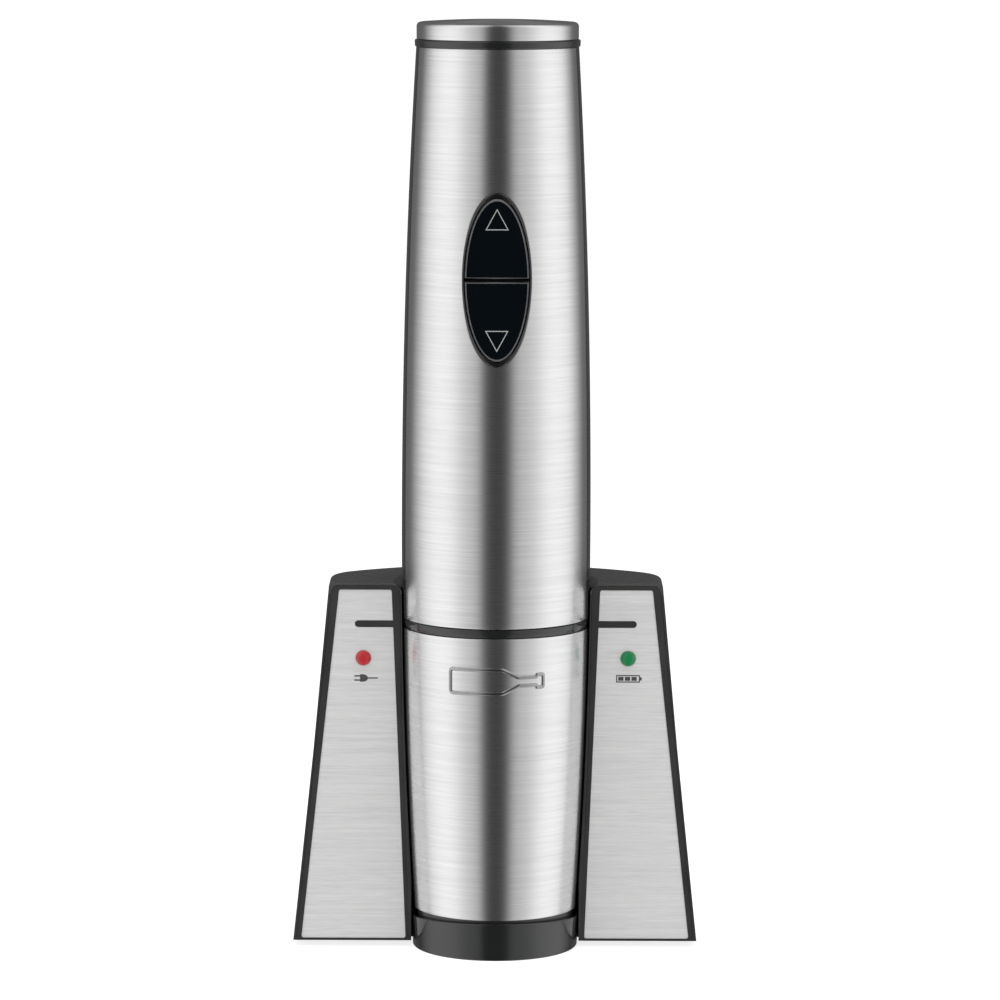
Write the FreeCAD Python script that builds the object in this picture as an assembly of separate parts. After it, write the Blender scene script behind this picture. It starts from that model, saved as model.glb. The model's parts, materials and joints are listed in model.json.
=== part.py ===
import FreeCAD, Part
import math
import os

V = FreeCAD.Vector
UP = V(0, 0, 1)

# Cordless wine opener standing in its charging base.  Millimetres, +Z up, front towards -Y.
# Everything is modelled about the opener's own axis, with the table at GROUND, and moved to
# its place when it is written.

# ---- placing ------------------------------------------------------------------------------
AXIS_Y = -8.23            # puts the origin in the middle of the footprint
RISE = 1.0                # height that everything is moved up when it is written
GROUND = -RISE            # the table, before that move
OVER = 1.0                # a cutter runs past the faces it cuts by this
FIT = 0.05                # gap between fitted pieces of one body
SLIVER = 0.1              # overlap of two shapes that are fused into one piece

# ---- barrel -------------------------------------------------------------------------------
HEIGHT = 280.0
BELLY_R = 28.5            # widest radius of the barrel
BELLY_Z = 127.0
UPPER_ARC = 2500.0        # side curvature above and below the belly
LOWER_ARC = 1894.0
SKIN = 0.6                # steel sleeve thickness
LINER_OUT = SKIN + 2 * FIT   # the plastic housing's inset from the outer surface
LINER_IN = 2.65
SKIN_HALF = 73.5          # a steel sleeve covers this many degrees either side of front or rear
STRIP_START = 73.9        # the black side strips fill the rest
STRIP_END = 89.9
STRIP_DEPTH = 1.2
FRONT, REAR = 270.0, 90.0    # degrees round the axis

UPPER = (100.45, 271.9)
MID_RING = (97.5, 100.4)
MID_RING_INSET = 0.35
NECK = (11.4, 97.45)
CAP_Z = 274.1
CAP_R, CAP_WALL = 24.2, 1.4
CAP_CROWN = ((11.2, 279.8), (22.4, 279.2), (23.67, 278.67), (24.2, 277.4))
TOP_RING = (271.95, 274.05)
TOP_RING_R, TOP_RING_CHAMFER = 24.78, 0.3
TOP_SPIGOT = (268.0, 276.9)      # the ring's sleeve, between housing and cap
TOP_SPIGOT_R = (20.0, 21.6, 22.75)

# ---- bottle end ---------------------------------------------------------------------------
SEAT_Z = 6.5              # cup floor that the opener stands on
BOTTLE_R = 16.5
LIP_Z = 65.0
BOTTLE_TUBE_R = 18.3
BOTTLE_LEAD_IN, BOTTLE_FLARE = 1.2, 1.0
TUBE_HEAD = (61.5, 63.0, 24.5)   # the tube's head starts, is full, and its radius
COLLAR_R, COLLAR_SPIGOT_R, COLLAR_TOP = 23.7, 22.25, 16.0
COLLAR_CHAMFER = 0.5
PAD_R, PAD_DEPTH = 2.3, 0.7
GUIDE_BORE, GUIDE_R, GUIDE_TOP = 12.6, 14.4, 118.0
GUIDE_FLANGES = ((LIP_Z + FIT, 67.0, 24.5), (116.0, GUIDE_TOP, 25.65))
GUIDE_RIB = (10.6, 13.5, 0.8)    # inner radius, outer radius, half thickness
GUIDE_RIBS, RIB_RISE = 4, 3.0

# ---- buttons ------------------------------------------------------------------------------
BUTTON_Z = 204.3
BUTTON_WINDOW = (10.2, 25.65)    # half width and half height
BUTTON_HOLE = (9.8, 24.25)
BUTTON_OVAL = (9.55, 24.0)
BUTTON_GAP = 1.0
BUTTON_PROUD, BUTTON_BACK = 0.55, 1.4
BEZEL_PROUD, BEZEL_BACK = 0.3, 2.55
BUTTON_ZONE, BUTTON_SWEEP = (170.0, 240.0), 90.0
BUTTON_REACH = (-40.0, -15.0)    # y range of the cutters round the buttons
SWITCH_OFFSET = 10.75
SWITCH_HALF, SWITCH_Y, SWITCH_KEY_R = 3.0, (-23.85, -22.8), 1.5
SWITCH_KEY_BACK = -23.8
BUTTON_TRAVEL, SWITCH_SLACK = 1.0, 0.15
SWITCH_BOARD = (-6.5, 6.5, -22.9, -21.8, 184.0, 221.0)

# ---- power pack ---------------------------------------------------------------------------
CELL_R, CELL_Z, CELL_AT = 7.25, (131.0, 179.9), 17.2
CELL_CAP_R, CELL_CAP_TOP = 2.7, 181.0
HOLDER_BORE = 9.6
HOLDER_PLATES = ((129.2, 130.8, 25.6), (181.2, 182.8, 25.1))
HOLDER_POST_R, HOLDER_POST_AT = 1.8, 21.0

# ---- gear train: two sun-planet stages in one ring ----------------------------------------
MODULE, SUN_T, PLANET_T, RING_T = 0.7, 12, 18, 48
PRESSURE = math.radians(25)
ADDENDUM, DEDENDUM, BACKLASH = 0.8 * MODULE, 1.05 * MODULE, 0.08
PLANET_AT = MODULE * (SUN_T + PLANET_T) / 2
PIN_R = 1.5
FLANK_POINTS = 4
GEAR_RING, GEAR_RING_R = (193.0, 221.5), 21.5
CARRIER_R = 14.6
STAGE_1 = {"plate": (207.4, 209.4), "gears": (209.9, 216.9), "pins": (209.3, 217.2),
           "sun": (209.9, 218.9)}
STAGE_2 = {"plate": (193.6, 196.4), "gears": (196.9, 206.1), "pins": (196.3, 206.6),
           "sun": (196.9, 207.5)}
GEARBOX_SCREW_AT = 19.6
GEARBOX_SCREW_R, GEARBOX_SCREW_HEAD_R = 0.95, 1.9
GEARBOX_SCREW_Z, GEARBOX_HEAD_Z = (189.0, 199.0), (189.6, 191.0)
TAPPED_R, TAPPED_DEPTH, CLEARANCE_R = 1.0, 8.0, 1.2
END_PLATE, END_PLATE_R = (191.1, 192.8), 24.9
BEARING_CUP_R, BEARING_CUP_Z = 15.5, 185.0
BEARING = (186.25, 190.8)
BEARING_R, BEARING_SEAT_R, BEARING_BORE = 13.5, 13.55, 9.05
DRIVE_HOLE_R = 9.6
MOTOR_PLATE, MOTOR_PLATE_R, MOTOR_PLATE_BORE = (221.55, 223.5), 23.9, 2.0
BOARD_NOTCH = (-7.2, 7.2, -30.0, -21.6, 180.0, 230.0)

# ---- motor --------------------------------------------------------------------------------
MOTOR_CAN, MOTOR_CAN_R, MOTOR_CAN_IN, MOTOR_CAN_FLOOR = (223.55, 259.0), 14.0, 13.2, 225.0
SHAFT_HOLE_R = 1.5
MOTOR_BELL, MOTOR_BELL_R = (259.05, 261.6), 13.95
BELL_BOSS_R, BELL_BOSS_TOP, BELL_HOLE_TOP = 4.0, 263.4, 262.4
MOTOR_SHAFT, MOTOR_SHAFT_R, PINION_BORE = (210.0, 262.0), 1.15, 1.17
ROTOR, ROTOR_R = (231.0, 252.0), 9.0
COMMUTATOR, COMMUTATOR_R = (253.5, 258.0), 3.2
ROTOR_SLOTS, ROTOR_SLOT_HALF, ROTOR_SLOT_BOTTOM = 5, 0.9, 6.2

# ---- lift screw ---------------------------------------------------------------------------
LEAD = 8.0
SHAFT_R, GROOVE_DEPTH, GROOVE_WIDTH = 4.6, 1.3, 2.4
GROOVE_RUN_OUT = 0.8
NUT, NUT_R, NUT_RIM, NUT_HUB = (119.5, 128.5), 25.7, 22.0, 9.0
NUT_FLOOR, NUT_BORE_GAP = 2.5, 0.3
NUT_PIN_Z, NUT_PIN_R, NUT_PIN_AT, NUT_PIN_LENGTH = 122.0, 0.9, 3.65, 5.0
DRIVE, DRIVE_R = (129.0, 191.95), 9.0
DRIVE_SPIGOT = (192.0, 193.7)
HEX_HEAD, HEX_ACROSS, HEX_BORE = (184.5, 191.5), 10.8, 11.0
WORM_R, WORM_WIRE, WORM_TIP, WORM_TOP = 3.0, 1.4, 68.0, 118.0
WORM_POINT, WORM_POINT_R = 5.0, 0.12
WORM_SHANK, WORM_INTO_SHANK, WORM_TIP_RISE = 4.5, 3.0, 2.0
GROOVE_END, HALF_OVERLAP = 3.0, 0.5

# ---- charging base ------------------------------------------------------------------------
BASE_TOP, BASE_SPLIT, BASE_LOW = 110.9, 107.3, 0.95
BASE_MID = 60.0
FRONT_Y = -5.0
POCKET_Y = FRONT_Y + 1.2
CAVITY_Y = FRONT_Y + 3.0
CUT_Y = FRONT_Y - 4.0     # lofts start here and are cut flat at FRONT_Y
BASE_WALL, BASE_ROOF = 2.2, 2.0
BACK_ARC, BASE_CORNER = 75.0, 14.0
HALF_WIDTHS = ((0.0, 61.45), (BASE_MID, 55.1), (BASE_TOP, 50.3))
BACK_DEPTHS = ((0.0, 45.0), (BASE_MID, 39.6), (BASE_TOP, 35.0))
BASE_BOX = 80.0           # larger than the base in any direction from the axis
COVER_FILLET = 1.0
RECESS_GAP = 0.45
RECESS_LOW_Z = 20.0
RECESS_WALL = 2.0
FLARE_R, FLARE_TOP_R, FLARE_DEPTH = 28.85, 31.0, 2.4
PLATE = (0.6, 2.6)        # the bottom plate and the cup's flange
PLATE_ROOM = PLATE[1] + FIT
FLANGE_R = 33.0

# wings
LED_X, LED_Z, LED_R = 40.0, 87.95, 2.25
LED_DOME, LED_DOME_Y, LED_GAP = 0.25, 1.35, 0.1
SLOT_Z, SLOT_START, SLOT_END, SLOT_R, SLOT_GAP = 98.4, 29.5, 42.4, 0.9, 0.15
SLOT_SUNK, PANEL_SUNK, LENS_SUNK = 0.15, 0.25, 0.1
PANEL_Z, PANEL_IN, PANEL_OUT = (1.65, 108.8), (27.2, 31.45), (58.9, 47.3)
PANEL_CORNER, PANEL_OPENING_CORNER = 0.65, 0.7
WING_Z, WING_RIM = (1.3, 110.1), 0.9
WING_IN = ((25.95, 28.15, 29.0), 62.0)    # inner edge: low, middle and high, and middle height
WING_RADII = (0.5, 0.5, 2.6, 2.4, 200.0)
WING_CUT = (-8.0, 0.0)

# screws, feet, contacts and power inlet
SCREW_SPOTS = ((50.0, 4.0), (20.0, 32.5))
BOSS_R, BOSS_TOP, BOSS_RIB_HALF, BOSS_RIB_END = 3.2, 20.0, 0.8, 19.0
BOSS_RIB_BITE = 0.5       # how far a rib runs into the wall
BOSS_HOLE_R, BOSS_HOLE_TOP = 1.3, 16.0
PLATE_HOLE_R, HEAD_POCKET_R, HEAD_POCKET_TOP = 1.5, 2.9, 1.5
SCREW_HEAD_R, SCREW_HEAD_Z, SCREW_R, SCREW_TOP = 2.7, (0.65, 1.45), 1.25, 14.0
FOOT_SPOTS = ((50.0, 14.0), (-50.0, 14.0), (29.0, 29.5), (-29.0, 29.5), (0.0, -18.5))
FOOT_R, FOOT_TOP = 4.5, 1.35
CUP_LOW_R, CUP_R, CUP_IN, CUP_RIM = 25.0, 25.5, 24.15, 10.5
CUP_CHAMFER, CUP_RIM_BEVEL = 0.3, (0.2, 0.3)
CUP_SLOPE = 4.3           # degrees that the cup's rim falls towards the rear
CUP_HOLLOW_R, CUP_HOLLOW_TOP, CUP_FOOT_BOSS_R = 13.0, 4.5, 6.5
CONTACT_AT = (7.0, 19.8)
PIN_TIP_R, PIN_SHOULDER_R, PIN_SHOULDER = 1.0, 1.9, (2.55, 3.35)
SPRING, SPRING_R, SPRING_IN = (0.95, 2.5), 1.8, 1.2
WELL_R, WELL_BASE_R, WELL_STEP = 1.3, 2.25, (3.0, 3.45)
TERMINAL, TERMINAL_R = (0.4, 0.9), 2.2
JACK_Z, JACK_HOLE_R, JACK_R, JACK_BORE, JACK_PIN_R = 13.0, 4.05, 4.0, 2.85, 1.0
JACK_BODY = (-5.0, 5.0, 34.5, 40.5, JACK_Z - 5.5, JACK_Z + 5.5)
JACK_BARREL_Y, JACK_FLOOR_Y, JACK_PIN_Y = 38.0, 35.5, 35.0
JACK_INSET, JACK_PIN_INSET = 0.4, 1.4
BOARD = (33.5, 46.0, 0.4, 1.9, 78.0, 98.0)
LAMP_CHIP_R = 1.5


# ---- helpers ------------------------------------------------------------------------------
def body_r(z):
    """Outer radius of the opener at height z."""
    bend = UPPER_ARC if z > BELLY_Z else LOWER_ARC
    return BELLY_R - bend + math.sqrt(bend * bend - (z - BELLY_Z) ** 2)


def line(a, b):
    return Part.LineSegment(a, b).toShape()


def arc(a, b, c):
    return Part.Arc(a, b, c).toShape()


def face_of(edges):
    return Part.Face(Part.Wire(Part.__sortEdges__(edges)))


def side(z0, z1, inset):
    """The barrel's side curve between two heights, moved in by inset."""
    stops = [z0, z1] if not z0 < BELLY_Z < z1 else [z0, BELLY_Z, z1]
    edges = []
    for low, high in zip(stops, stops[1:]):
        pts = [V(body_r(z) - inset, 0, z) for z in (low, (low + high) / 2, high)]
        edges.append(arc(*pts))
    return edges


def revolve(face, start=0.0, sweep=360.0):
    turned_face = face.copy()
    turned_face.rotate(V(), UP, start)
    return turned_face.revolve(V(), UP, sweep)


def band(z0, z1, outer, inner, start=0.0, sweep=360.0):
    """A sleeve that follows the barrel, between two insets and two heights."""
    edges = side(z0, z1, outer) + side(z0, z1, inner)
    for z in (z0, z1):
        edges.append(line(V(body_r(z) - outer, 0, z), V(body_r(z) - inner, 0, z)))
    return revolve(face_of(edges), start, sweep)


def turned(points, start=0.0, sweep=360.0):
    """A turned solid from (radius, z) points; a third item marks the middle of an arc."""
    edges = []
    ring = list(points) + [points[0]]
    i = 0
    while i < len(ring) - 1:
        a = V(ring[i][0], 0, ring[i][1])
        b = V(ring[i + 1][0], 0, ring[i + 1][1])
        if len(ring[i + 1]) == 3:
            c = V(ring[i + 2][0], 0, ring[i + 2][1])
            edges.append(arc(a, b, c))
            i += 2
        else:
            edges.append(line(a, b))
            i += 1
    return revolve(face_of(edges), start, sweep)


def rod(r, z0, z1, x=0.0, y=0.0):
    return Part.makeCylinder(r, z1 - z0, V(x, y, z0), UP)


def bore(r, z0, z1, x=0.0, y=0.0):
    """A cutter that runs past both ends."""
    return rod(r, z0 - OVER, z1 + OVER, x, y)


def tube(outer, inner, z0, z1):
    return rod(outer, z0, z1).cut(bore(inner, z0, z1))


def rod_y(r, y0, y1, x, z):
    return Part.makeCylinder(r, y1 - y0, V(x, y0, z), V(0, 1, 0))


def block(x0, x1, y0, y1, z0, z1):
    return Part.makeBox(x1 - x0, y1 - y0, z1 - z0, V(x0, y0, z0))


def joined(shapes):
    return shapes[0].fuse(shapes[1:]).removeSplitter()


def group(shapes):
    return Part.makeCompound(shapes)


def same(shape):
    return shape


def mirrored(shape):
    return shape.mirror(V(), V(1, 0, 0))


def both_sides(shape):
    return [shape, mirrored(shape)]


def spread(count, radius, start_deg=0.0):
    """Evenly spaced (x, y) places round the axis."""
    angles = [math.radians(start_deg + 360.0 * k / count) for k in range(count)]
    return [(radius * math.cos(a), radius * math.sin(a)) for a in angles]


def rods_at(spots, r, z0, z1):
    return [rod(r, z0, z1, x, y) for x, y in spots]


def hexagon(across, z0, z1):
    corners = [V(x, y, z0) for x, y in spread(6, across / math.sqrt(3))]
    return Part.Face(Part.makePolygon(corners + corners[:1])).extrude(V(0, 0, z1 - z0))


# ---- gears --------------------------------------------------------------------------------
def involute(angle):
    return math.tan(angle) - angle


def gear_face(teeth, tip, root, extra, phase_deg):
    """A gear outline; extra widens the tooth at the pitch circle (negative for backlash)."""
    pitch_r = MODULE * teeth / 2
    base = pitch_r * math.cos(PRESSURE)
    half_pitch = (math.pi * MODULE / 2 + extra) / (2 * pitch_r)

    def half_angle(radius):
        alpha = math.acos(min(1.0, base / max(radius, base)))
        return half_pitch + involute(PRESSURE) - involute(alpha)

    def at(radius, angle):
        return V(radius * math.cos(angle), radius * math.sin(angle), 0)

    start = max(root, base)
    spans = FLANK_POINTS - 1
    steps = [start + (tip - start) * k / spans for k in range(FLANK_POINTS)]
    pitch_angle = 2 * math.pi / teeth
    edges = []
    for tooth in range(teeth):
        mid = math.radians(phase_deg) + pitch_angle * tooth
        for sign in (-1, 1):
            flank = Part.BSplineCurve()
            flank.interpolate([at(r, mid + sign * half_angle(r)) for r in steps])
            edges.append(flank.toShape())
            if root < start:
                edge_angle = mid + sign * half_angle(start)
                edges.append(line(at(root, edge_angle), at(start, edge_angle)))
        top = half_angle(tip)
        edges.append(arc(at(tip, mid - top), at(tip, mid), at(tip, mid + top)))
        low = half_angle(start)
        edges.append(arc(at(root, mid + low), at(root, mid + pitch_angle / 2),
                         at(root, mid + pitch_angle - low)))
    return face_of(edges)


def spur(teeth, z0, z1, phase_deg, x=0.0, y=0.0):
    pitch_r = MODULE * teeth / 2
    face = gear_face(teeth, pitch_r + ADDENDUM, pitch_r - DEDENDUM, -BACKLASH, phase_deg)
    face.translate(V(x, y, z0))
    return face.extrude(V(0, 0, z1 - z0))


def planet(spot, z0, z1):
    gear = spur(PLANET_T, z0, z1, 180.0 / PLANET_T, *spot)
    return gear.cut(bore(PIN_R + FIT, z0, z1, *spot))


def ring_gear():
    low, high = GEAR_RING
    pitch_r = MODULE * RING_T / 2
    teeth = gear_face(RING_T, pitch_r + DEDENDUM, pitch_r - ADDENDUM, BACKLASH, 180.0 / RING_T)
    teeth.translate(V(0, 0, low - OVER))
    teeth = teeth.extrude(V(0, 0, high - low + 2 * OVER))
    tapped = rods_at(gearbox_spots(), TAPPED_R, low - OVER, low + TAPPED_DEPTH)
    return rod(GEAR_RING_R, low, high).cut(teeth).cut(group(tapped))


def gearbox_spots():
    return spread(3, GEARBOX_SCREW_AT, 90)


def gear_train(parts):
    spots = spread(3, PLANET_AT)
    parts["ring_gear"] = ring_gear()
    parts["motor_pinion"] = spur(SUN_T, *STAGE_1["sun"], 0.0).cut(
        bore(PINION_BORE, *STAGE_1["sun"]))
    sun = spur(SUN_T, STAGE_2["sun"][0], STAGE_1["plate"][0] + SLIVER, 0.0)
    parts["carrier_1"] = joined([rod(CARRIER_R, *STAGE_1["plate"]), sun]
                                + rods_at(spots, PIN_R, *STAGE_1["pins"]))
    parts["carrier_2"] = joined([rod(CARRIER_R, *STAGE_2["plate"]), rod(DRIVE_R, *DRIVE_SPIGOT)]
                                + rods_at(spots, PIN_R, *STAGE_2["pins"]))
    for spot, letter in zip(spots, "abc"):
        parts["planet_1" + letter] = planet(spot, *STAGE_1["gears"])
        parts["planet_2" + letter] = planet(spot, *STAGE_2["gears"])


def gearbox(parts):
    notch = block(*BOARD_NOTCH)
    low, high = END_PLATE
    plate = joined([rod(END_PLATE_R, low, high), rod(BEARING_CUP_R, BEARING_CUP_Z, high)])
    plate = plate.cut(rod(BEARING_SEAT_R, BEARING[0] - FIT, high + OVER))
    plate = plate.cut(bore(DRIVE_HOLE_R, BEARING_CUP_Z, high)).cut(notch)
    holes = rods_at(gearbox_spots(), CLEARANCE_R, low - OVER, high + OVER)
    parts["gearbox_end_plate"] = plate.cut(group(holes))
    shanks = rods_at(gearbox_spots(), GEARBOX_SCREW_R, *GEARBOX_SCREW_Z)
    heads = rods_at(gearbox_spots(), GEARBOX_SCREW_HEAD_R, *GEARBOX_HEAD_Z)
    parts["gearbox_screws"] = group([joined(list(pair)) for pair in zip(shanks, heads)])
    parts["drive_bearing"] = tube(BEARING_R, BEARING_BORE, *BEARING)
    motor_plate = rod(MOTOR_PLATE_R, *MOTOR_PLATE).cut(bore(MOTOR_PLATE_BORE, *MOTOR_PLATE))
    parts["gearbox_motor_plate"] = motor_plate.cut(notch)


# ---- motor and lift screw -----------------------------------------------------------------
def motor(parts):
    low, high = MOTOR_CAN
    can = rod(MOTOR_CAN_R, low, high).cut(rod(MOTOR_CAN_IN, MOTOR_CAN_FLOOR, high + OVER))
    parts["motor_can"] = can.cut(bore(SHAFT_HOLE_R, low, MOTOR_CAN_FLOOR))
    bell_low, bell_high = MOTOR_BELL
    bell = joined([rod(MOTOR_BELL_R, bell_low, bell_high),
                   rod(BELL_BOSS_R, bell_high - SLIVER, BELL_BOSS_TOP)])
    parts["motor_end_bell"] = bell.cut(rod(SHAFT_HOLE_R, bell_low - OVER, BELL_HOLE_TOP))
    core = joined([rod(MOTOR_SHAFT_R, *MOTOR_SHAFT), rod(ROTOR_R, *ROTOR),
                   rod(COMMUTATOR_R, *COMMUTATOR)])
    slots = []
    for k in range(ROTOR_SLOTS):
        slot = block(-ROTOR_SLOT_HALF, ROTOR_SLOT_HALF, ROTOR_SLOT_BOTTOM, ROTOR_R + OVER,
                     ROTOR[0] - OVER, ROTOR[1] + OVER)
        slot.rotate(V(), UP, 360.0 * k / ROTOR_SLOTS)
        slots.append(slot)
    parts["motor_rotor"] = core.cut(group(slots))


def helix_sweep(radius, z0, z1, profile):
    path = Part.makeHelix(LEAD, z1 - z0, radius)
    path.translate(V(0, 0, z0))
    return Part.Wire(path.Edges).makePipeShell([profile], True, True)


def spindle():
    low, high = HEX_HEAD
    shaft = rod(SHAFT_R, WORM_TOP + FIT, low + HALF_OVERLAP)
    start = NUT_PIN_Z - LEAD
    r_in, r_out, half = SHAFT_R - GROOVE_DEPTH, SHAFT_R + GROOVE_RUN_OUT, GROOVE_WIDTH / 2
    corners = [V(r, 0, start + dz) for r, dz in
               ((r_in, -half), (r_out, -half), (r_out, half), (r_in, half), (r_in, -half))]
    groove = helix_sweep(SHAFT_R, start, low - GROOVE_END, Part.makePolygon(corners))
    return joined([shaft.cut(groove), hexagon(HEX_ACROSS, low, high)])


def worm():
    start = V(WORM_R, 0, WORM_TIP + WORM_TIP_RISE)
    tangent = V(0, 2 * math.pi * WORM_R, LEAD)
    tangent.normalize()
    wire_circle = Part.Wire(Part.makeCircle(WORM_WIRE, start, tangent))
    coil = helix_sweep(WORM_R, start.z, WORM_TOP - WORM_INTO_SHANK, wire_circle)
    point = Part.makeCone(WORM_WIRE, WORM_POINT_R, WORM_POINT, start, tangent * -1)
    shank = rod(SHAFT_R - 2 * FIT, WORM_TOP - WORM_SHANK, WORM_TOP)
    return joined([coil, point, shank])


def lead_nut():
    low, high = NUT
    disc = tube(NUT_R, SHAFT_R + NUT_BORE_GAP, low, high)
    pocket = rod(NUT_RIM, low + NUT_FLOOR, high + OVER).cut(bore(NUT_HUB, low, high))
    pins = [Part.makeCylinder(NUT_PIN_R, NUT_PIN_LENGTH, V(side * NUT_PIN_AT, 0, z), V(side, 0, 0))
            for side, z in ((1, NUT_PIN_Z), (-1, NUT_PIN_Z + LEAD / 2))]
    return joined([disc.cut(pocket)] + pins)


def lift_screw(parts):
    parts["spindle"] = spindle()
    parts["worm"] = worm()
    parts["drive_tube"] = rod(DRIVE_R, *DRIVE).cut(
        hexagon(HEX_BORE, DRIVE[0] - OVER, DRIVE[1] + OVER))
    parts["lead_nut"] = lead_nut()


# ---- opener -------------------------------------------------------------------------------
def oval_prism(semi, y0=BUTTON_REACH[0], y1=BUTTON_REACH[1]):
    """An upright oval with half-width semi[0] and half-height semi[1], extruded along Y."""
    curve = Part.Ellipse(V(0, 0, 0), semi[1], semi[0]).toShape()
    face = Part.Face(Part.Wire(curve))
    face.rotate(V(), UP, 90)
    face.rotate(V(), V(1, 0, 0), 90)
    face.translate(V(0, y0, BUTTON_Z))
    return face.extrude(V(0, y1 - y0, 0))


def skin(z_range, middle):
    return band(*z_range, 0.0, SKIN, middle - SKIN_HALF, 2 * SKIN_HALF)


def shell_half(middle):
    """One half of the plastic housing, with its two visible side strips."""
    half = band(*UPPER, LINER_OUT, LINER_IN, middle - STRIP_END, 2 * STRIP_END)
    width = STRIP_END - STRIP_START
    strips = [band(*UPPER, 0.0, STRIP_DEPTH, start, width)
              for start in (middle + STRIP_START, middle - STRIP_END)]
    return joined([half] + strips)


def crown(parts):
    (x1, z1), (x2, z2), (x3, z3), (x4, z4) = CAP_CROWN
    inner = CAP_R - CAP_WALL
    parts["top_cap"] = turned([(0, HEIGHT), (x1, z1, "mid"), (x2, z2), (x3, z3, "mid"), (x4, z4),
                               (CAP_R, CAP_Z), (inner, CAP_Z), (inner, TOP_SPIGOT[1] + SLIVER),
                               (0, TOP_SPIGOT[1] + CAP_WALL + SLIVER)])
    low, high = TOP_RING
    edge = TOP_RING_R - TOP_RING_CHAMFER
    in_r, out_r, up_r = TOP_SPIGOT_R
    parts["top_ring"] = turned([(edge, low), (TOP_RING_R, low + TOP_RING_CHAMFER),
                                (TOP_RING_R, high - TOP_RING_CHAMFER), (edge, high), (up_r, high),
                                (up_r, TOP_SPIGOT[1]), (in_r, TOP_SPIGOT[1]),
                                (in_r, TOP_SPIGOT[0]), (out_r, TOP_SPIGOT[0]), (out_r, low)])


def upper_body(parts):
    crown(parts)
    window = oval_prism(BUTTON_WINDOW)
    parts["upper_front_skin"] = skin(UPPER, FRONT).cut(window)
    parts["upper_rear_skin"] = skin(UPPER, REAR)
    parts["front_housing"] = shell_half(FRONT).cut(window)
    parts["rear_housing"] = shell_half(REAR)
    parts["middle_ring"] = band(*MID_RING, MID_RING_INSET, LINER_IN)


def button_layer(proud, back, oval):
    """A curved layer of the barrel's front, cut to an oval."""
    layer = band(*BUTTON_ZONE, -proud, back, FRONT - BUTTON_SWEEP / 2, BUTTON_SWEEP)
    return layer.common(oval_prism(oval))


def buttons(parts):
    outline = (BUTTON_WINDOW[0] - FIT, BUTTON_WINDOW[1] - FIT)
    bezel = button_layer(BEZEL_PROUD, BEZEL_BACK, outline)
    parts["button_bezel"] = bezel.cut(oval_prism(BUTTON_HOLE))
    both = button_layer(BUTTON_PROUD, BUTTON_BACK, BUTTON_OVAL)
    half_gap = BUTTON_GAP / 2
    room = (-BUTTON_OVAL[0] - OVER, BUTTON_OVAL[0] + OVER, BUTTON_REACH[0], 0.0)
    parts["up_button"] = both.common(block(*room, BUTTON_Z + half_gap, BUTTON_ZONE[1]))
    parts["down_button"] = both.common(block(*room, BUTTON_ZONE[0], BUTTON_Z - half_gap))
    board = [block(*SWITCH_BOARD)]
    half = SWITCH_HALF
    for z in (BUTTON_Z - SWITCH_OFFSET, BUTTON_Z + SWITCH_OFFSET):
        board.append(block(-half, half, *SWITCH_Y, z - half, z + half))
        key_front = BUTTON_BACK + BUTTON_TRAVEL + SWITCH_SLACK - body_r(z)
        board.append(rod_y(SWITCH_KEY_R, key_front, SWITCH_KEY_BACK, 0, z))
    parts["switch_board"] = joined(board)


def power_pack(parts):
    low, high = CELL_Z
    cells = []
    for x, y in spread(4, CELL_AT, 45):
        cap = rod(CELL_CAP_R, high - SLIVER, CELL_CAP_TOP, x, y)
        cells.append(joined([rod(CELL_R, low, high, x, y), cap]))
    parts["battery_cells"] = group(cells)
    plates = [tube(r, HOLDER_BORE, z0, z1) for z0, z1, r in HOLDER_PLATES]
    posts = rods_at(spread(4, HOLDER_POST_AT), HOLDER_POST_R, HOLDER_PLATES[0][1] - SLIVER,
                    HOLDER_PLATES[1][0] + SLIVER)
    parts["battery_holder"] = joined(plates + posts)


def cork_guide():
    pieces = [tube(GUIDE_R, GUIDE_BORE, LIP_Z + FIT, GUIDE_TOP)]
    pieces += [tube(r, GUIDE_BORE, z0, z1) for z0, z1, r in GUIDE_FLANGES]
    inner, outer, half = GUIDE_RIB
    for k in range(GUIDE_RIBS):
        rib = block(inner, outer, -half, half, LIP_Z + RIB_RISE, GUIDE_TOP)
        rib.rotate(V(), UP, 360.0 * (k + 0.5) / GUIDE_RIBS)
        pieces.append(rib)
    return joined(pieces)


def bottle_end(parts):
    bottom = SEAT_Z + FIT
    chamfer = CUP_CHAMFER
    r = BOTTLE_TUBE_R
    head_low, head_full, head_r = TUBE_HEAD
    parts["bottle_tube"] = turned([(r - chamfer, bottom), (r, bottom + chamfer), (r, head_low),
                                   (head_r, head_full), (head_r, LIP_Z), (BOTTLE_R, LIP_Z),
                                   (BOTTLE_R, bottom + BOTTLE_LEAD_IN),
                                   (BOTTLE_R + BOTTLE_FLARE, bottom)])
    top = NECK[0] - FIT
    edge = COLLAR_R - COLLAR_CHAMFER
    collar = turned([(r + FIT, bottom), (edge, bottom), (COLLAR_R, bottom + COLLAR_CHAMFER),
                     (COLLAR_R, top), (COLLAR_SPIGOT_R, top), (COLLAR_SPIGOT_R, COLLAR_TOP),
                     (r + FIT, COLLAR_TOP)])
    pockets = both_sides(rod(PAD_R, bottom - OVER, bottom + PAD_DEPTH, *CONTACT_AT))
    parts["bottom_collar"] = collar.cut(group(pockets))
    pad = rod(PAD_R - FIT, bottom + FIT, bottom + PAD_DEPTH - FIT, *CONTACT_AT)
    parts["contact_pads"] = group(both_sides(pad))


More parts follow.
